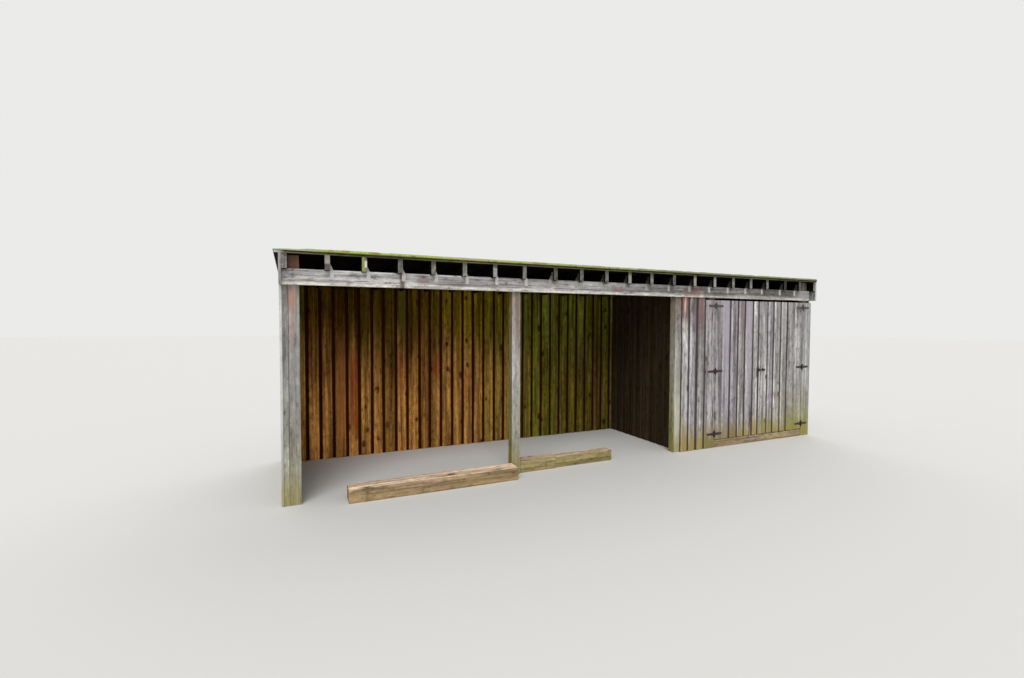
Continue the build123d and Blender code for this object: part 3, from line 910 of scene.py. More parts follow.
def kerb_base(f):
    """Kerb timbers: brown in the first bay, olive in the second, with pale washed tops."""
    f.skin = f.tones.kerb
    f.coat(f.tones.kerb_olive, f.along(2250, 2400))
    f.coat(colour(170, 151, 122), f.along(5100, 5250))
    f.coat(f.tones.russet, f.remap(f.z, 0.0, 0.05, 0.30, 0.0))
    facing = f.split(f.node("ShaderNodeNewGeometry").outputs["Normal"])
    top = f.remap(facing[2], 0.4, 0.8)
    f.coat(f.tones.kerb_top, top)
    f.coat(colour(118, 92, 74), f.broad, f.line(top, -0.25, 0.25))


def deck_base(f):
    """Deck boards, grey on the front edge with a painted shadow under the felt, and painted shade on every
    face behind it.
    """
    low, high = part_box("roof_deck")
    # Painted shadow on the top of the front edge, under the felt.
    rim = f.line(f.broad, 0.004, f.z)
    f.skin = colour(104, 98, 76)
    f.coat(colour(40, 34, 18), f.remap(rim, high.z - 0.015, high.z - 0.010))
    f.coat(f.tones.silver, f.remap(f.x, low.x + 0.02, low.x + 0.10, 0.75, 0.0))
    # Painted shade on every face behind the front edge.
    f.coat(f.tones.under_roof, f.remap(f.y, low.y + 0.001, low.y + 0.005, 0.0, 0.99))


def felt_finish():
    """Mineral felt with moss creeping from its front edge."""
    tones = bpy.context.scene.log_roof_colours
    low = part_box("roofing")[0]
    f = Finish("mineral felt", tones.felt)
    f.coat(tones.felt_pale, f.remap(f.speckle((2.5, 4.0, 2.0), 4.0, 0.6), 0.35, 0.7))
    grains = f.speckle(420.0, 1.0)
    f.coat((0.02, 0.022, 0.02), f.remap(grains, 0.35, 0.75, 0.0, 0.45))
    edge = f.remap(f.y, low.y + 0.02, low.y + 0.55, 0.26, 0.0)
    growth = f.remap(f.plus(f.speckle((5.0, 7.0, 5.0), 6.0, 0.65), edge), 0.58, 0.66)
    tufts = f.speckle(160.0, 3.0, 0.7)
    green = f.mix(f.remap(tufts, 0.35, 0.65), tones.moss_deep, colour(152, 166, 84))
    f.coat(f.mix(f.remap(f.speckle(14.0), 0.5, 0.7), green, tones.moss_brown), growth)
    lip = f.mix(f.remap(f.x, low.x + 0.25, low.x + 0.6), (0.40, 0.44, 0.36), (0.16, 0.17, 0.08))
    f.coat(lip, f.remap(f.y, low.y + 0.010, low.y + 0.020, 0.9, 0.0))
    f.bump(f.line(tufts, growth, f.times(grains, 0.25)), 0.004, 0.7)
    return f.done(f.line(grains, 0.1, 0.85), 0.2)


def moss_finish():
    """Bright tufts at the left, duller and browner moss towards the tool room, with painted shade low along
    the front.
    """
    tones = bpy.context.scene.log_roof_colours
    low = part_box("roof_edge")[0]
    f = Finish("moss", tones.moss_deep)
    tufts, broad = f.speckle(260.0, 3.0, 0.7), f.speckle((5.0, 9.0, 9.0))
    f.coat(tones.moss_bright, f.remap(tufts, 0.30, 0.62))
    f.coat(tones.moss_brown, f.remap(broad, 0.52, 0.66, 0.0, 0.8))
    f.coat(colour(204, 188, 142), f.span(f.x, on_front(1450), on_front(2250), 0.35), 0.60)
    f.coat(tones.moss_dull, f.along(2200, 3000, 0.0, 0.62))
    f.coat(colour(118, 128, 98), f.along(3600, 4600, 0.0, 0.60))
    # Painted shade low along the front of the moss.
    foot = deck_top(low.y)
    under = f.remap(f.line(broad, 0.008, f.z), foot + 0.004, foot + 0.010, 0.88, 0.0)
    f.coat(colour(44, 50, 16), under, f.remap(f.y, low.y + 0.012, low.y + 0.018, 1.0, 0.0))
    f.bump(tufts, 0.006, 0.9)
    return f.done(0.95, 0.15)


def iron_finish():
    """Rusty paint, faded on the upper hinges."""
    tones = bpy.context.scene.log_iron_colours
    f = Finish("black iron", tones.black_iron)
    rust = f.remap(f.speckle(60.0, 5.0, 0.7), 0.50, 0.68)
    f.coat(tones.rust, rust, 0.7)
    f.coat(colour(116, 110, 108), f.remap(f.z, 1.80, 1.86, 0.0, 0.26))
    f.bump(f.speckle(300.0, 3.0), 0.0006, 0.6)
    return f.done(f.remap(rust, 0.0, 1.0, 0.45, 0.9))


def nail_finish():
    """Rusty nail heads."""
    tones = bpy.context.scene.log_iron_colours
    f = Finish("nail heads", tones.black_iron)
    spots = f.speckle(200.0, 3.0)
    f.coat(tones.rust, f.remap(spots, 0.35, 0.65))
    f.bump(spots, 0.0004, 0.6)
    return f.done(f.remap(spots, 0.3, 0.7, 0.6, 0.9))


def zinc_finish():
    """Spangled ties, duller in the middle of the front, with painted shade at their upper ends."""
    tones = bpy.context.scene.log_iron_colours
    f = Finish("galvanised ties", tones.zinc)
    cells = f.cells(f.vector("MULTIPLY", f.place, (90.0, 90.0, 90.0)))
    spangle = f.split(cells.outputs["Color"])[0]
    f.coat(tones.zinc_dull, spangle, 0.4)
    f.coat(colour(126, 126, 112), f.along(2600, 2650, 0.0, 0.60))
    f.coat(tones.zinc, f.along(5000, 5100, 0.0, 0.50))
    # Painted shade on the upper ends, strongest in the middle of the front.
    f.coat(tones.zinc_shaded, f.remap(f.z, 2.190, 2.212, 0.0, f.along(2300, 3200, 0.30, 0.95)))
    f.coat(tones.rust, f.remap(f.speckle((14.0, 14.0, 22.0), 4.0, 0.6), 0.52, 0.72, 0.0, 0.7))
    f.shader.inputs["Metallic"].default_value = 0.35
    f.bump(spangle, 0.0003, 0.5)
    return f.done(f.remap(spangle, 0.0, 1.0, 0.45, 0.7))


# The pieces


def lay_front(mill, joints, recesses, low, high, short_last=0.0):
    """Upright boards side by side, facing the front; recesses has the odd widths by their number."""
    sizes = bpy.context.scene.log_boards
    last = len(joints) - 2
    for n, (x0, x1) in enumerate(zip(joints, joints[1:])):
        recess = 0.0 if n == last else recesses.get(n, sizes.channel) or sizes.joint
        section = channel_board(x1 - x0, high.y - low.y, recess, sizes.channel_depth)
        top = high.z - (short_last if n == last else 0.0)
        mill.board(section, Vector((x0, low.y, low.z)), RIGHT, UP, top - low.z)


def lay_side(mill, node, across, front_mill=None):
    """Upright boards from front to back under the slope; another mill may take the one at the front."""
    sizes = bpy.context.scene.log_boards
    low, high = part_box(node)
    count = round((high.y - low.y) / sizes.side_pitch)
    pitch = (high.y - low.y) / count
    for n in range(count):
        gap = sizes.channel if n < count - 1 else 0.0
        section = channel_board(pitch, high.x - low.x, gap, sizes.channel_depth)
        if across is BACK:
            foot, fall, at_front = Vector((high.x, low.y + n * pitch, low.z)), ROOF_FALL, n == 0
        else:
            foot, fall, at_front = Vector((low.x, high.y - n * pitch, low.z)), -ROOF_FALL, n == count - 1
        top = high.z - ROOF_FALL * (foot.y - low.y)
        own = front_mill if front_mill and at_front else mill
        own.board(section, foot, across, UP, top - low.z, fall)


class FrontBoards(bpy.types.Operator):
    """Make the boards beside the doors and on the corner"""
    bl_idname = "logstore.front_boards"
    bl_label = "Front boards"

    def execute(self, context):
        finish = wood("front boards", silver_base, front_marks(), knots=0.20, recess=RECESS)
        low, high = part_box("front_wall_boards")
        boards = Sawmill("front_boards")
        joints = [low.x, on_front(4850), on_front(4993), on_front(5131), high.x]
        lay_front(boards, joints, {1: 0.045}, low, high, short_last=0.030)
        boards.piece("frame", "siding_wood", finish, "front_wall_boards")
        low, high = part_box("corner_board")
        corner = Sawmill("corner_boards")
        lay_front(corner, [low.x, on_front(7155), high.x], {0: 0.0}, low, high)
        corner.piece("frame", "siding_wood", finish, "corner_board")
        return {"FINISHED"}


class DoorLeaves(bpy.types.Operator):
    """Make the boards of both doors"""
    bl_idname = "logstore.door_leaves"
    bl_label = "Door leaves"

    joints = {
        "left": ((5443, 5601, 5752, 5890, 6050, 6163), {0: 0.0}),
        "right": ((6344, 6476, 6629, 6768, 6925), {0: 0.024, 4: 0.0}),
    }

    def execute(self, context):
        finish = wood("door boards", silver_base, front_marks(), knots=0.20, recess=RECESS)
        for side, (inner, recesses) in self.joints.items():
            low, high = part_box("door_%s_leaf" % side)
            joints = [low.x] + [on_front(x) for x in inner] + [high.x]
            leaf = Sawmill("door_%s_boards" % side)
            lay_front(leaf, joints, recesses, low, high)
            leaf.piece("%s_leaf" % side, "siding_wood", finish, "door_%s_leaf" % side)
        return {"FINISHED"}


class SideWalls(bpy.types.Operator):
    """Make the boards of both end walls"""
    bl_idname = "logstore.side_walls"
    bl_label = "Side walls"

    def execute(self, context):
        growth = {"knots": 0.15, "moss": 0.55, "moss_top": 0.50}
        finish = wood("side boards", outside_base, recess=RECESS, **growth)
        clean = wood("corner side boards", outside_base, (pale_corner(),), **growth)
        for side, across in zip(SIDES, (FRONT, BACK)):
            mill, corner = Sawmill(side + "_side_boards"), Sawmill(side + "_side_corner")
            lay_side(mill, side + "_wall_boards", across, corner)
            mill.piece("frame", "siding_wood", finish, side + "_wall_boards")
            corner.piece("frame", "siding_wood", clean)
        return {"FINISHED"}


class BackWall(bpy.types.Operator):
    """Make the two layers of boards on the back wall"""
    bl_idname = "logstore.back_wall"
    bl_label = "Back wall"

    joints = (359, 513, 674, 823, 981, 1126, 1288, 1438, 1602, 1744, 1898, 2059, 2211, 2364, 2520, 2684,
              2829)
    least_board = 0.03
    least_sliver = 0.004

    def execute(self, context):
        tones = context.scene.log_wood
        inner = wood("sheltered boards", sheltered_base, sheltered_marks(), knots=0.32, knot_size=1.10,
                     recess=0.0125, recess_shade=0.98, recess_tint=tones.sheltered_recess,
                     knot_tint=colour(38, 14, 4), streaks=1.25, gloss=0.02)
        outer = wood("outer boards", outside_base, knots=0.15, moss=0.55, moss_top=0.55)
        boards = self.wall("log_bay_back", "back_wall_log_bays", inner, outer)
        boards += self.wall("tool_room_back", "back_wall_tool_room", inner, outer)
        self.top_boards(boards, inner)
        return {"FINISHED"}

    def wall(self, name, node, inner, outer):
        """Both layers of a stretch of the wall; returns its inner boards."""
        sizes = bpy.context.scene.log_boards
        low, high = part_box(node)
        lines = [on_front(x) for x in self.joints]
        lines = [lines[0] - sizes.back_pitch] + lines
        lines += [lines[-1] + n * sizes.back_pitch for n in range(1, 40)]
        room = self.least_board
        joints = [low.x] + [x for x in lines if low.x + room < x < high.x - room] + [high.x]
        mill, boards = Sawmill(name), []
        for n, (x0, x1) in enumerate(zip(joints, joints[1:])):
            gap = sizes.wide_channel if n < len(joints) - 2 else 0.0
            section = channel_board(x1 - x0, INNER_LAYER, gap, sizes.channel_depth)
            luck = str((name, round(x0, 3)))
            mill.board(section, Vector((x0, low.y, low.z)), RIGHT, UP, high.z - low.z,
                       luck=random.Random(luck))
            boards.append((luck, section, x0, x1))
        mill.piece("frame", "siding_wood", inner, node)
        behind = Sawmill(name + "_outside")
        shifted = [low.x] + [x - sizes.back_pitch * 0.4 for x in joints[1:-1]] + [high.x]
        for x0, x1 in zip(shifted, shifted[1:]):
            section = channel_board(x1 - x0, OUTER_LAYER, sizes.joint, 0.01)
            behind.board(section, Vector((x1, high.y, low.z)), LEFT, UP, high.z - low.z)
        behind.piece("frame", "siding_wood", outer)
        return boards

    def top_boards(self, boards, finish):
        """The same boards going on up between the rafters."""
        node = "back_wall_top_boards"
        low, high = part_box(node)
        mill = Sawmill("top_boards")
        for g0, g1 in gaps_in(node):
            for luck, section, x0, x1 in boards:
                left, right = max(g0, x0) - x0, min(g1, x1) - x0
                if right - left >= self.least_sliver:
                    mill.board(between(section, left, right), Vector((x0, low.y, low.z)), RIGHT, UP,
                               high.z - 0.001 - low.z, start=low.z, luck=random.Random(luck))
            outer = [(0, -OUTER_LAYER), (0, 0), (g1 - g0, 0), (g1 - g0, -OUTER_LAYER)]
            mill.board(outer, Vector((g1, high.y, low.z)), LEFT, UP,
                       high.z - 0.0015 - low.z - ROOF_FALL * (high.y - low.y), start=low.z)
        mill.piece("frame", "shaded_wood", finish, node)


def gaps_in(node):
    """The stretches along X that the node's solids fill."""
    return sorted((min(v.co.x for v in solid.verts), max(v.co.x for v in solid.verts))
                  for solid in solids_in(node))


class Partition(bpy.types.Operator):
    """Make the boards between the bays and the tool room"""
    bl_idname = "logstore.partition"
    bl_label = "Partition"

    def execute(self, context):
        finish = wood("partition boards", dark_base, knots=0.20, knot_tint=colour(30, 18, 8), gloss=0.05,
                      recess=RECESS)
        mill = Sawmill("partition_wall")
        lay_side(mill, "partition_boards", FRONT)
        mill.piece("frame", "shaded_wood", finish, "partition_boards")
        return {"FINISHED"}


class Posts(bpy.types.Operator):
    """Make the front and back posts"""
    bl_idname = "logstore.posts"
    bl_label = "Posts"

    def execute(self, context):
        finish = wood("front posts", post_base, post_marks(), knots=0.08, moss=0.48, moss_top=0.38,
                      streaks=0.62, contrast=0.8)
        for name in ("left", "middle", "partition", "door", "right"):
            sawn("post_" + name, "front_post_" + name, "frame_wood", finish)
        shade = wood("back posts", weathered_base, knots=0.12, moss=0.6, moss_top=0.5)
        sawn("posts_at_the_back", "back_posts", "frame_wood", shade)
        return {"FINISHED"}


class Beams(bpy.types.Operator):
    """Make the beams under the rafters and the pieces that join them"""
    bl_idname = "logstore.beams"
    bl_label = "Beams"

    def execute(self, context):
        for place, finish in (("front", wood("front beam", beam_base, beam_marks(), knots=0.06)),
                              ("back", wood("back beam", weathered_base, knots=0.12))):
            for side in SIDES:
                node = "%s_beam_%s" % (place, side)
                sawn(node + "_sawn", node, "frame_wood", finish)
        sawn("beam_splices_sawn", "beam_splices", "frame_wood", wood("splices", dark_base, knots=0.10))
        ends = wood("end boards", weathered_base, (pale_end(),), knots=0.10)
        for node in ("beam_end_boards", "rake_boards"):
            sawn(node + "_sawn", node, "siding_wood", ends)
        return {"FINISHED"}


class Rafters(bpy.types.Operator):
    """Make the rafters with their sawn tails"""
    bl_idname = "logstore.rafters"
    bl_label = "Rafters"

    def execute(self, context):
        finish = wood("rafters", rafter_base, rafter_marks(), knots=0.06, contrast=0.5, gloss=0.05)
        sawn("rafters_sawn", "rafters", "rafter_wood", finish)
        return {"FINISHED"}


class Rails(bpy.types.Operator):
    """Make the rails, girts and the doors' ledges and braces"""
    bl_idname = "logstore.rails"
    bl_label = "Rails and ledges"

    def execute(self, context):
        shade = wood("shaded rails", dark_base, knots=0.15)
        nailers = wood("nailers", post_base, knots=0.12, moss=0.5, moss_top=0.35)
        outside = wood("back rails", weathered_base, knots=0.15, moss=0.30, moss_top=0.40)
        for node, finish, body in (
                ("left_wall_girts", nailers, "frame"), ("right_wall_girts", shade, "frame"),
                ("back_wall_rails", outside, "frame"), ("partition_rails", shade, "frame"),
                ("front_wall_rails", shade, "frame"), ("door_left_ledges", shade, "left_leaf"),
                ("door_right_ledges", shade, "right_leaf")):
            sawn(node + "_sawn", node, "shaded_wood", finish, body)
        return {"FINISHED"}


class Kerbs(bpy.types.Operator):
    """Make the timbers on the ground and the door sill"""
    bl_idname = "logstore.kerbs"
    bl_label = "Kerbs and sill"

    def execute(self, context):
        finish = wood("kerb timber", kerb_base, knots=0.35, moss=0.22, moss_top=0.10)
        names = {"curb_left": "kerb_left", "curb_middle": "kerb_middle", "door_sill": "sill"}
        for node, name in names.items():
            sawn(name, node, "curb_wood", finish)
        return {"FINISHED"}


def deck_top(y):
    """Height of the deck's upper face."""
    low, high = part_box("roof_deck")
    return high.z - ROOF_FALL * (y - low.y)


class RoofDeck(bpy.types.Operator):
    """Make the boards of the roof deck, which run from end to end"""
    bl_idname = "logstore.roof_deck"
    bl_label = "Roof deck"

    gap, end_gap = 0.003, 0.002
    end_room, shortest = 1.2, 0.3

    def execute(self, context):
        low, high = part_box("roof_deck")
        depth = high.y - low.y
        thick = (high.z - low.z) - ROOF_FALL * depth
        count = round(depth / context.scene.log_roof.deck_board)
        width = depth / count
        slope = Vector((0, 1, -ROOF_FALL)).normalized()
        face = width - self.gap
        section = [(0, -thick), (0, 0), (face, 0), (face, -thick)]
        mill = Sawmill("deck_boards")
        for n in range(count):
            y = low.y + n * width
            inner = [mill.luck.uniform(low.x + self.end_room, high.x - self.end_room) for _ in range(2)]
            cuts = [low.x] + sorted(inner) + [high.x]
            for x0, x1 in zip(cuts, cuts[1:]):
                if x1 - x0 >= self.shortest:
                    foot = Vector((x1 - (self.end_gap if x1 < high.x else 0), y, deck_top(y)))
                    mill.board(section, foot, slope, LEFT, x1 - x0 - self.end_gap, bend=0.35)
        finish = wood("deck boards", deck_base, knots=0.12, gloss=0.05)
        mill.piece("frame", "deck_wood", finish, "roof_deck")
        return {"FINISHED"}


class Roofing(bpy.types.Operator):
    """Make the felt, lapped in the middle, and the strip of it over the front edge"""
    bl_idname = "logstore.roofing"
    bl_label = "Roofing"

    def execute(self, context):
        sizes = context.scene.log_roof
        finish = felt_finish()
        low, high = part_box("roofing")
        room, felt, lapped = sizes.moss_room, sizes.felt, sizes.felt - sizes.lap
        lap, end = (low.y + high.y) / 2, high.y - FELT_INSET
        profile = [(low.y + room, 0.0005), (low.y + room, felt)]
        profile += [(y, felt) for y in np.linspace(low.y + 0.06, lap, 14)]
        profile += [(lap + 0.001, lapped)] + [(y, lapped) for y in np.linspace(lap + 0.06, end, 14)]
        roll_out("felt", profile + [(end, 0.0005)], 0.10, finish, "roofing")
        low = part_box("roof_edge")[0]
        rise = edge_rise() - room
        profile = ((room, felt), (room, rise * 0.8), (room + 0.004, rise), (0.024, rise), (0.036, rise),
                   (0.048, rise * 0.7), (0.069, felt + 0.002), (0.069, felt))
        roll_out("felt_edge", [(low.y + y, z) for y, z in profile], 0.16, finish, "roof_edge")
        return {"FINISHED"}


def edge_rise():
    """Height of the built-up front edge above the deck."""
    low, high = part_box("roof_edge")
    return high.z - deck_top(low.y)


def left_taper(along):
    """The front edge is thinner towards the left end."""
    return min(1.0, 0.45 + along / 0.55)


def roll_out(name, profile, slack, finish, node):
    """A sheet of felt with its profile above the deck, uneven along its length."""
    low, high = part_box(node)
    start, end = low.x + FELT_INSET, high.x - FELT_INSET
    columns, rows = 240, []
    for n in range(columns + 1):
        x = start + (end - start) * n / columns
        row = []
        for index, (y, z) in enumerate(profile):
            wave = noise.noise(Vector((x * 2.3, y * 5, 5)))
            lift = z * (1 - slack * (0.5 + 0.5 * wave)) * (left_taper(x - start) if z > 0.008 else 1.0)
            shift = 0.003 * abs(noise.noise(Vector((x * 1.7, 7, index * 0.2)))) if index < 3 else 0.0
            row.append((x, y + shift, deck_top(y) + max(lift, 0.0004)))
        rows.append(row)
    mesh = drawn_out(name, rows)
    mesh.set_sharp_from_angle(angle=math.radians(40))
    place_piece(name, mesh, "frame", "roofing_felt", finish, node)


class Moss(bpy.types.Operator):
    """Grow a mat of moss over the roof's front edge, and cushions behind it"""
    bl_idname = "logstore.moss"
    bl_label = "Moss"

    def execute(self, context):
        finish = moss_finish()
        self.mat(finish)
        self.cushions(context.scene.log_roof, finish)
        return {"FINISHED"}

    def mat(self, finish):
        """A lumpy skin that lies on the felt's edge and sinks into it where nothing grows."""
        low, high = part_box("roof_edge")
        rise, felt = edge_rise(), 0.006
        outer = [(0.008, -0.009), (0.003, -0.008), (0.0008, rise * 0.40), (0.0012, rise * 0.85),
                 (0.004, rise - 0.0004), (0.014, rise - 0.0002), (0.024, rise - 0.0002),
                 (0.034, rise - 0.0004), (0.045, rise - 0.002), (0.056, rise * 0.62),
                 (0.070, felt + 0.005), (0.085, felt + 0.003)]
        inner = [(0.014, -0.004), (0.014, 0.002), (0.014, rise * 0.35), (0.014, rise * 0.6),
                 (0.016, rise * 0.62), (0.020, rise * 0.62), (0.026, rise * 0.62), (0.034, rise * 0.62),
                 (0.042, rise * 0.60), (0.052, rise * 0.35), (0.066, 0.003), (0.084, 0.001)]
        columns, rows = 1100, []
        for n in range(columns + 1):
            x = low.x + 0.03 + (high.x - low.x - 0.05) * n / columns
            along = x - low.x
            cover = min(1.0, 0.12 + along / 0.6) - 0.22 * min(1.0, max(0.0, (along - 2.6) / 3.0))
            ring = []
            for index, ((y0, z0), (y1, z1)) in enumerate(zip(outer, inner)):
                lumps = noise.noise(Vector((x * 9, index * 0.22, 1)))
                fine = noise.noise(Vector((x * 42, index * 0.55, 8)))
                grown = min(1.0, max(0.0, cover + 0.55 * lumps + 0.28 * fine))
                if index < 3:
                    teeth = noise.noise(Vector((x * 13, 4, index * 0.3)))
                    grown *= 0.35 + 0.65 * min(1.0, max(0.0, 0.6 + 1.2 * teeth))
                y, z = y1 + (y0 - y1) * grown, z1 + (z0 - z1) * grown
                ring.append((low.y + y, z * left_taper(along)))
            ring += [(low.y + 0.08, 0.0006), (low.y + 0.018, 0.0006)]
            rows.append([(x, y, deck_top(y) + z) for y, z in ring])
        place_piece("moss_mat", drawn_out("moss_mat", rows), "frame", "roofing_felt", finish)

    def cushions(self, sizes, finish):
        low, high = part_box("roofing")
        edge_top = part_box("roof_edge")[1].z - 0.0004
        luck = random.Random("moss")
        mesh = bmesh.new()
        for n in range(sizes.cushions):
            x = low.x + 0.10 + (high.x - low.x - 0.15) * luck.random() ** 1.2
            y = low.y + 0.075 + abs(luck.gauss(0, 0.35))
            if y > high.y - 0.05:
                continue
            size = sizes.cushion_size * luck.uniform(0.45, 1.5)
            middle = Vector((x, y, deck_top(y) + sizes.felt - size * 0.10))
            tall = size * luck.uniform(0.15, 0.3)
            top = edge_top - ROOF_FALL * (y - low.y)
            ball = bmesh.ops.create_icosphere(mesh, subdivisions=2, radius=1.0)
            for vert in ball["verts"]:
                bump = 1 + 0.4 * noise.noise(vert.co * 2.2 + Vector((n, 0, 0)))
                spot = middle + Vector((vert.co.x * size * 1.5, vert.co.y * size, vert.co.z * tall)) * bump
                spot.x = min(max(spot.x, low.x + 0.001), high.x - 0.001)
                spot.z = min(spot.z, top)
                vert.co = spot
        data = bpy.data.meshes.new("moss_cushions")
        mesh.to_mesh(data)
        mesh.free()
        data.shade_smooth()
        place_piece("moss_cushions", data, "frame", "roofing_felt", finish)


class Ironwork(bpy.types.Operator):
    """Finish the hinges, knobs and ties, and drive the screws and nails"""
    bl_idname = "logstore.ironwork"
    bl_label = "Ironwork"

    # Along a strap from its root, and up or down from its middle
    screw_places = ((0.016, 0.026), (0.016, -0.026), (0.050, 0.0), (0.086, 0.0), (0.121, 0.0))
    root_gap = 0.007

    def execute(self, context):
        iron = iron_finish()
        for side, part in product(SIDES, ("hinge_plates", "straps", "pull")):
            give(iron, "door_%s_%s" % (side, part))
        give(zinc_finish(), "rafter_ties")
        self.hinge_screws(context.scene, iron)
        self.board_nails(context.scene, nail_finish())
        return {"FINISHED"}

    def hinge_screws(self, scene, iron):
        for side, part in product(SIDES, ("hinge_plates", "straps")):
            fixed = part == "hinge_plates"
            low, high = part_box("door_%s_%s" % (side, part))
            outward = -1 if (side == "left") == fixed else 1
            root = high.x if outward < 0 else low.x
            heads = [Vector((root + outward * (self.root_gap + step), strap_face(side), z + lift))
                     for z in hinge_levels() for step, lift in self.screw_places]
            domes("screws_%s_%s" % (side, part), heads, FRONT, scene.log_iron.screw_head, SCREW_RISE,
                  "frame" if fixed else side + "_leaf", iron)

    def board_nails(self, scene, finish):
        """Rows of nails on every face: name, body, the way they look, from, to, face and spacing."""
        bays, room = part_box("back_wall_log_bays"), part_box("back_wall_tool_room")
        left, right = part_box("left_wall_boards"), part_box("right_wall_boards")
        front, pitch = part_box("front_wall_boards"), scene.log_boards.back_pitch
        rows = [
            ("inside_back", "frame", FRONT, bays[0].x + 0.1, bays[1].x, bays[0].y, pitch),
            ("outside_back", "frame", BACK, bays[0].x, room[1].x, bays[1].y, pitch),
            ("left_side", "frame", LEFT, left[0].y, left[1].y, left[0].x, 0.15),
            ("right_side", "frame", RIGHT, right[0].y, right[1].y, right[1].x, 0.15),
            ("front", "frame", FRONT, front[0].x, front[1].x, front[0].y, 0.15),
        ]
        for leaf in ("left_leaf", "right_leaf"):
            low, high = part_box("door_" + leaf)
            rows.append((leaf, leaf, FRONT, low.x + 0.15, high.x - 0.15, low.y, 0.14))
        levels = [(low + high) / 2 for low, high in rail_bands()]
        luck = random.Random("nails")
        for name, body, way, start, end, face, spacing in rows:
            count, spots = max(1, round((end - start) / spacing)), []
            for n, share, z in product(range(count), (0.22, 0.62), levels):
                at = start + (n + share) * (end - start) / count + luck.uniform(-0.006, 0.006)
                height = z + luck.uniform(-0.012, 0.012)
                spots.append(Vector((face, at, height) if way.x else (at, face, height)))
            domes("nails_" + name, spots, way, scene.log_iron.nail_head, NAIL_RISE, body, finish)


def give(finish, node):
    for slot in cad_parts[node].material_slots:
        slot.material = finish


def strap_face(side):
    """How far forward the straps' flat face lies."""
    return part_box("door_%s_leaf" % side)[0].y - 0.003


def hinge_levels():
    """Middle heights of the hinges, from the straps' own vertices."""
    heights = sorted(v.co.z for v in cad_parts["door_left_straps"].data.vertices)
    groups = [[heights[0]]]
    for z in heights[1:]:
        if z - groups[-1][-1] > 0.2:
            groups.append([])
        groups[-1].append(z)
    return [(group[0] + group[-1]) / 2 for group in groups]


def rail_bands():
    """Lower and upper heights of the three rails."""
    heights = sorted({round(v.co.z, 4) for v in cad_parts["front_wall_rails"].data.vertices})
    return list(zip(heights[::2], heights[1::2]))


def domes(name, spots, out, radius, rise, body, finish):
    """Low six-sided heads of nails or screws on a face."""
    side = out.cross(UP).normalized()
    corners = [side * math.cos(turn) + UP * math.sin(turn) for turn in (math.tau * n / 6 for n in range(6))]
    points, faces = [], []
    for spot in spots:
        start = len(points)
        for share, lift in ((1.0, -0.0005), (0.75, rise * 0.7), (0.3, rise)):
            points += [spot + corner * radius * share + out * lift for corner in corners]
        for ring, n in product(range(2), range(6)):
            a, b = start + ring * 6 + n, start + ring * 6 + (n + 1) % 6
            faces.append((a, b, b + 6, a + 6))
        faces.append([start + 12 + n for n in range(6)])
        faces.append([start + n for n in range(6)][::-1])
    place_piece(name, outward(name, points, faces), body, "black_iron", finish)


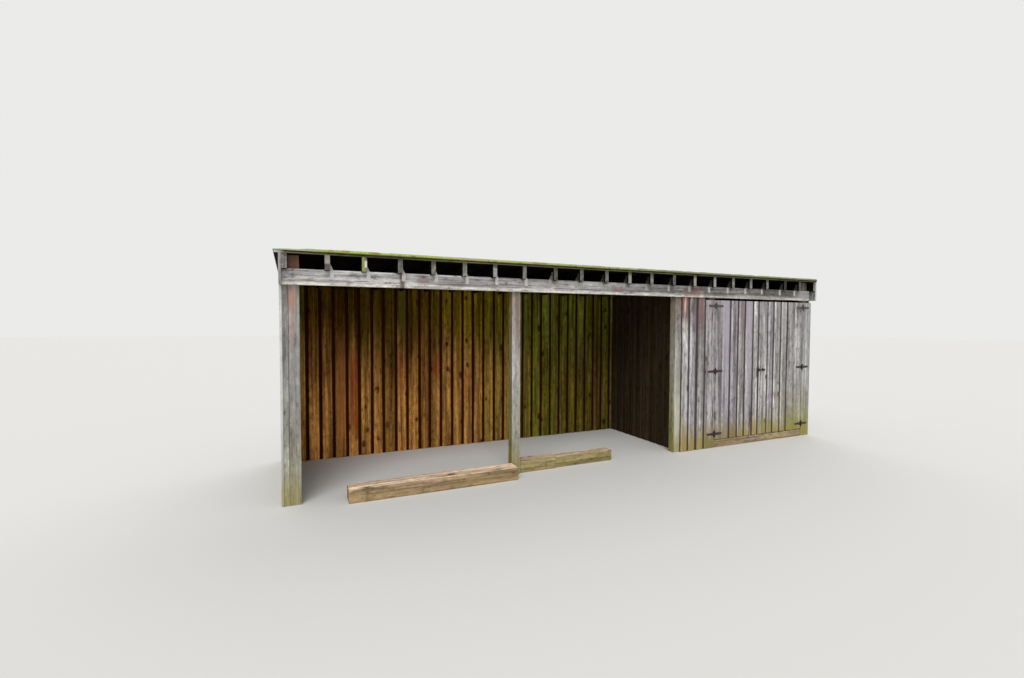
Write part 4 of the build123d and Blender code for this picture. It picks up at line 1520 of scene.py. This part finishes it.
class Stage(bpy.types.Operator):
    """Set up the camera, the floor and the light"""
    bl_idname = "logstore.stage"
    bl_label = "Stage"

    def execute(self, context):
        scene = context.scene
        scene.view_settings.view_transform = "Standard"
        self.camera(scene, scene.log_stage)
        self.floor(scene, scene.log_stage)
        self.world(scene, scene.log_stage)
        self.lamps(scene, scene.log_stage)
        return {"FINISHED"}

    def camera(self, scene, settings):
        camera = bpy.data.objects.new("camera", bpy.data.cameras.new("camera"))
        scene.collection.objects.link(camera)
        scene.camera = camera
        camera.data.sensor_width = 36.0
        camera.data.sensor_fit = "HORIZONTAL"
        camera.data.lens = settings.lens
        camera.data.clip_end = 200.0
        camera.location = settings.eye
        turn = Matrix.Rotation(-settings.turn, 4, "Z")
        tilt = Matrix.Rotation(math.pi / 2 - settings.tilt, 4, "X")
        camera.rotation_euler = (turn @ tilt @ Matrix.Rotation(settings.roll, 4, "Z")).to_euler()

    def floor(self, scene, settings):
        mesh = bmesh.new()
        bmesh.ops.create_grid(mesh, x_segments=4, y_segments=4, size=60.0)
        data = bpy.data.meshes.new("floor")
        mesh.to_mesh(data)
        mesh.free()
        floor = bpy.data.objects.new("floor", data)
        scene.collection.objects.link(floor)
        data.materials.append(Finish("pale floor", settings.floor).done(0.95, 0.1))
        floor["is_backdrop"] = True

    def world(self, scene, settings):
        """Even light, with a pale backdrop for the camera and for reflections."""
        world = bpy.data.worlds.new("even light")
        world.use_nodes = True
        scene.world = world
        nodes, links = world.node_tree.nodes, world.node_tree.links
        sky = nodes["Background"]
        sky.inputs[0].default_value = (1, 1, 1, 1)
        sky.inputs[1].default_value = settings.sky
        pale = nodes.new("ShaderNodeBackground")
        pale.inputs[0].default_value = (0.83, 0.83, 0.82, 1)
        seen = nodes.new("ShaderNodeLightPath")
        mixer = nodes.new("ShaderNodeMixShader")
        pale_rays = seen.outputs["Is Camera Ray"]
        for kind in ("Is Glossy Ray", "Is Transmission Ray"):
            either = nodes.new("ShaderNodeMath")
            either.operation = "MAXIMUM"
            links.new(pale_rays, either.inputs[0])
            links.new(seen.outputs[kind], either.inputs[1])
            pale_rays = either.outputs[0]
        for key, output in enumerate((pale_rays, sky.outputs[0], pale.outputs[0])):
            links.new(output, mixer.inputs[key])
        links.new(mixer.outputs[0], nodes["World Output"].inputs[0])

    def lamps(self, scene, settings):
        for name, power, towards, angle in (("key", settings.key, (0.45, 0.80, -0.80), 40),
                                            ("fill", settings.fill, (-0.5, -0.7, -0.6), 60)):
            lamp = bpy.data.lights.new(name, "SUN")
            lamp.energy = power
            lamp.angle = math.radians(angle)
            light = bpy.data.objects.new(name, lamp)
            light.rotation_euler = Vector(towards).to_track_quat("-Z", "Y").to_euler()
            scene.collection.objects.link(light)


OPERATORS = (FrontBoards, DoorLeaves, SideWalls, BackWall, Partition, Posts, Beams, Rafters, Rails,
             Kerbs, RoofDeck, Roofing, Moss, Ironwork, Stage)


class LogStorePanel(bpy.types.Panel):
    """Lists the pieces of the log store"""
    bl_idname = "VIEW3D_PT_log_store"
    bl_label = "Log store"
    bl_space_type = "VIEW_3D"
    bl_region_type = "UI"
    bl_category = "Log store"

    def draw(self, context):
        for operator in OPERATORS:
            self.layout.operator(operator.bl_idname)


def register():
    for group in GROUPS.values():
        bpy.utils.register_class(group)
    for name, group in GROUPS.items():
        setattr(bpy.types.Scene, name, PointerProperty(type=group))
    for operator in OPERATORS:
        bpy.utils.register_class(operator)
    bpy.utils.register_class(LogStorePanel)


def unregister():
    bpy.utils.unregister_class(LogStorePanel)
    for operator in reversed(OPERATORS):
        bpy.utils.unregister_class(operator)
    for name, group in reversed(GROUPS.items()):
        delattr(bpy.types.Scene, name)
        bpy.utils.unregister_class(group)


def main():
    register()
    bpy.ops.logstore.stage()
    bpy.ops.logstore.front_boards()
    bpy.ops.logstore.door_leaves()
    bpy.ops.logstore.side_walls()
    bpy.ops.logstore.back_wall()
    bpy.ops.logstore.partition()
    bpy.ops.logstore.posts()
    bpy.ops.logstore.beams()
    bpy.ops.logstore.rafters()
    bpy.ops.logstore.rails()
    bpy.ops.logstore.kerbs()
    bpy.ops.logstore.roof_deck()
    bpy.ops.logstore.roofing()
    bpy.ops.logstore.moss()
    bpy.ops.logstore.ironwork()
    sizes = [[list(corner) for corner in bounds] for bounds in (CAD_BOUNDS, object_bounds())]


if __name__ == "__main__":
    main()
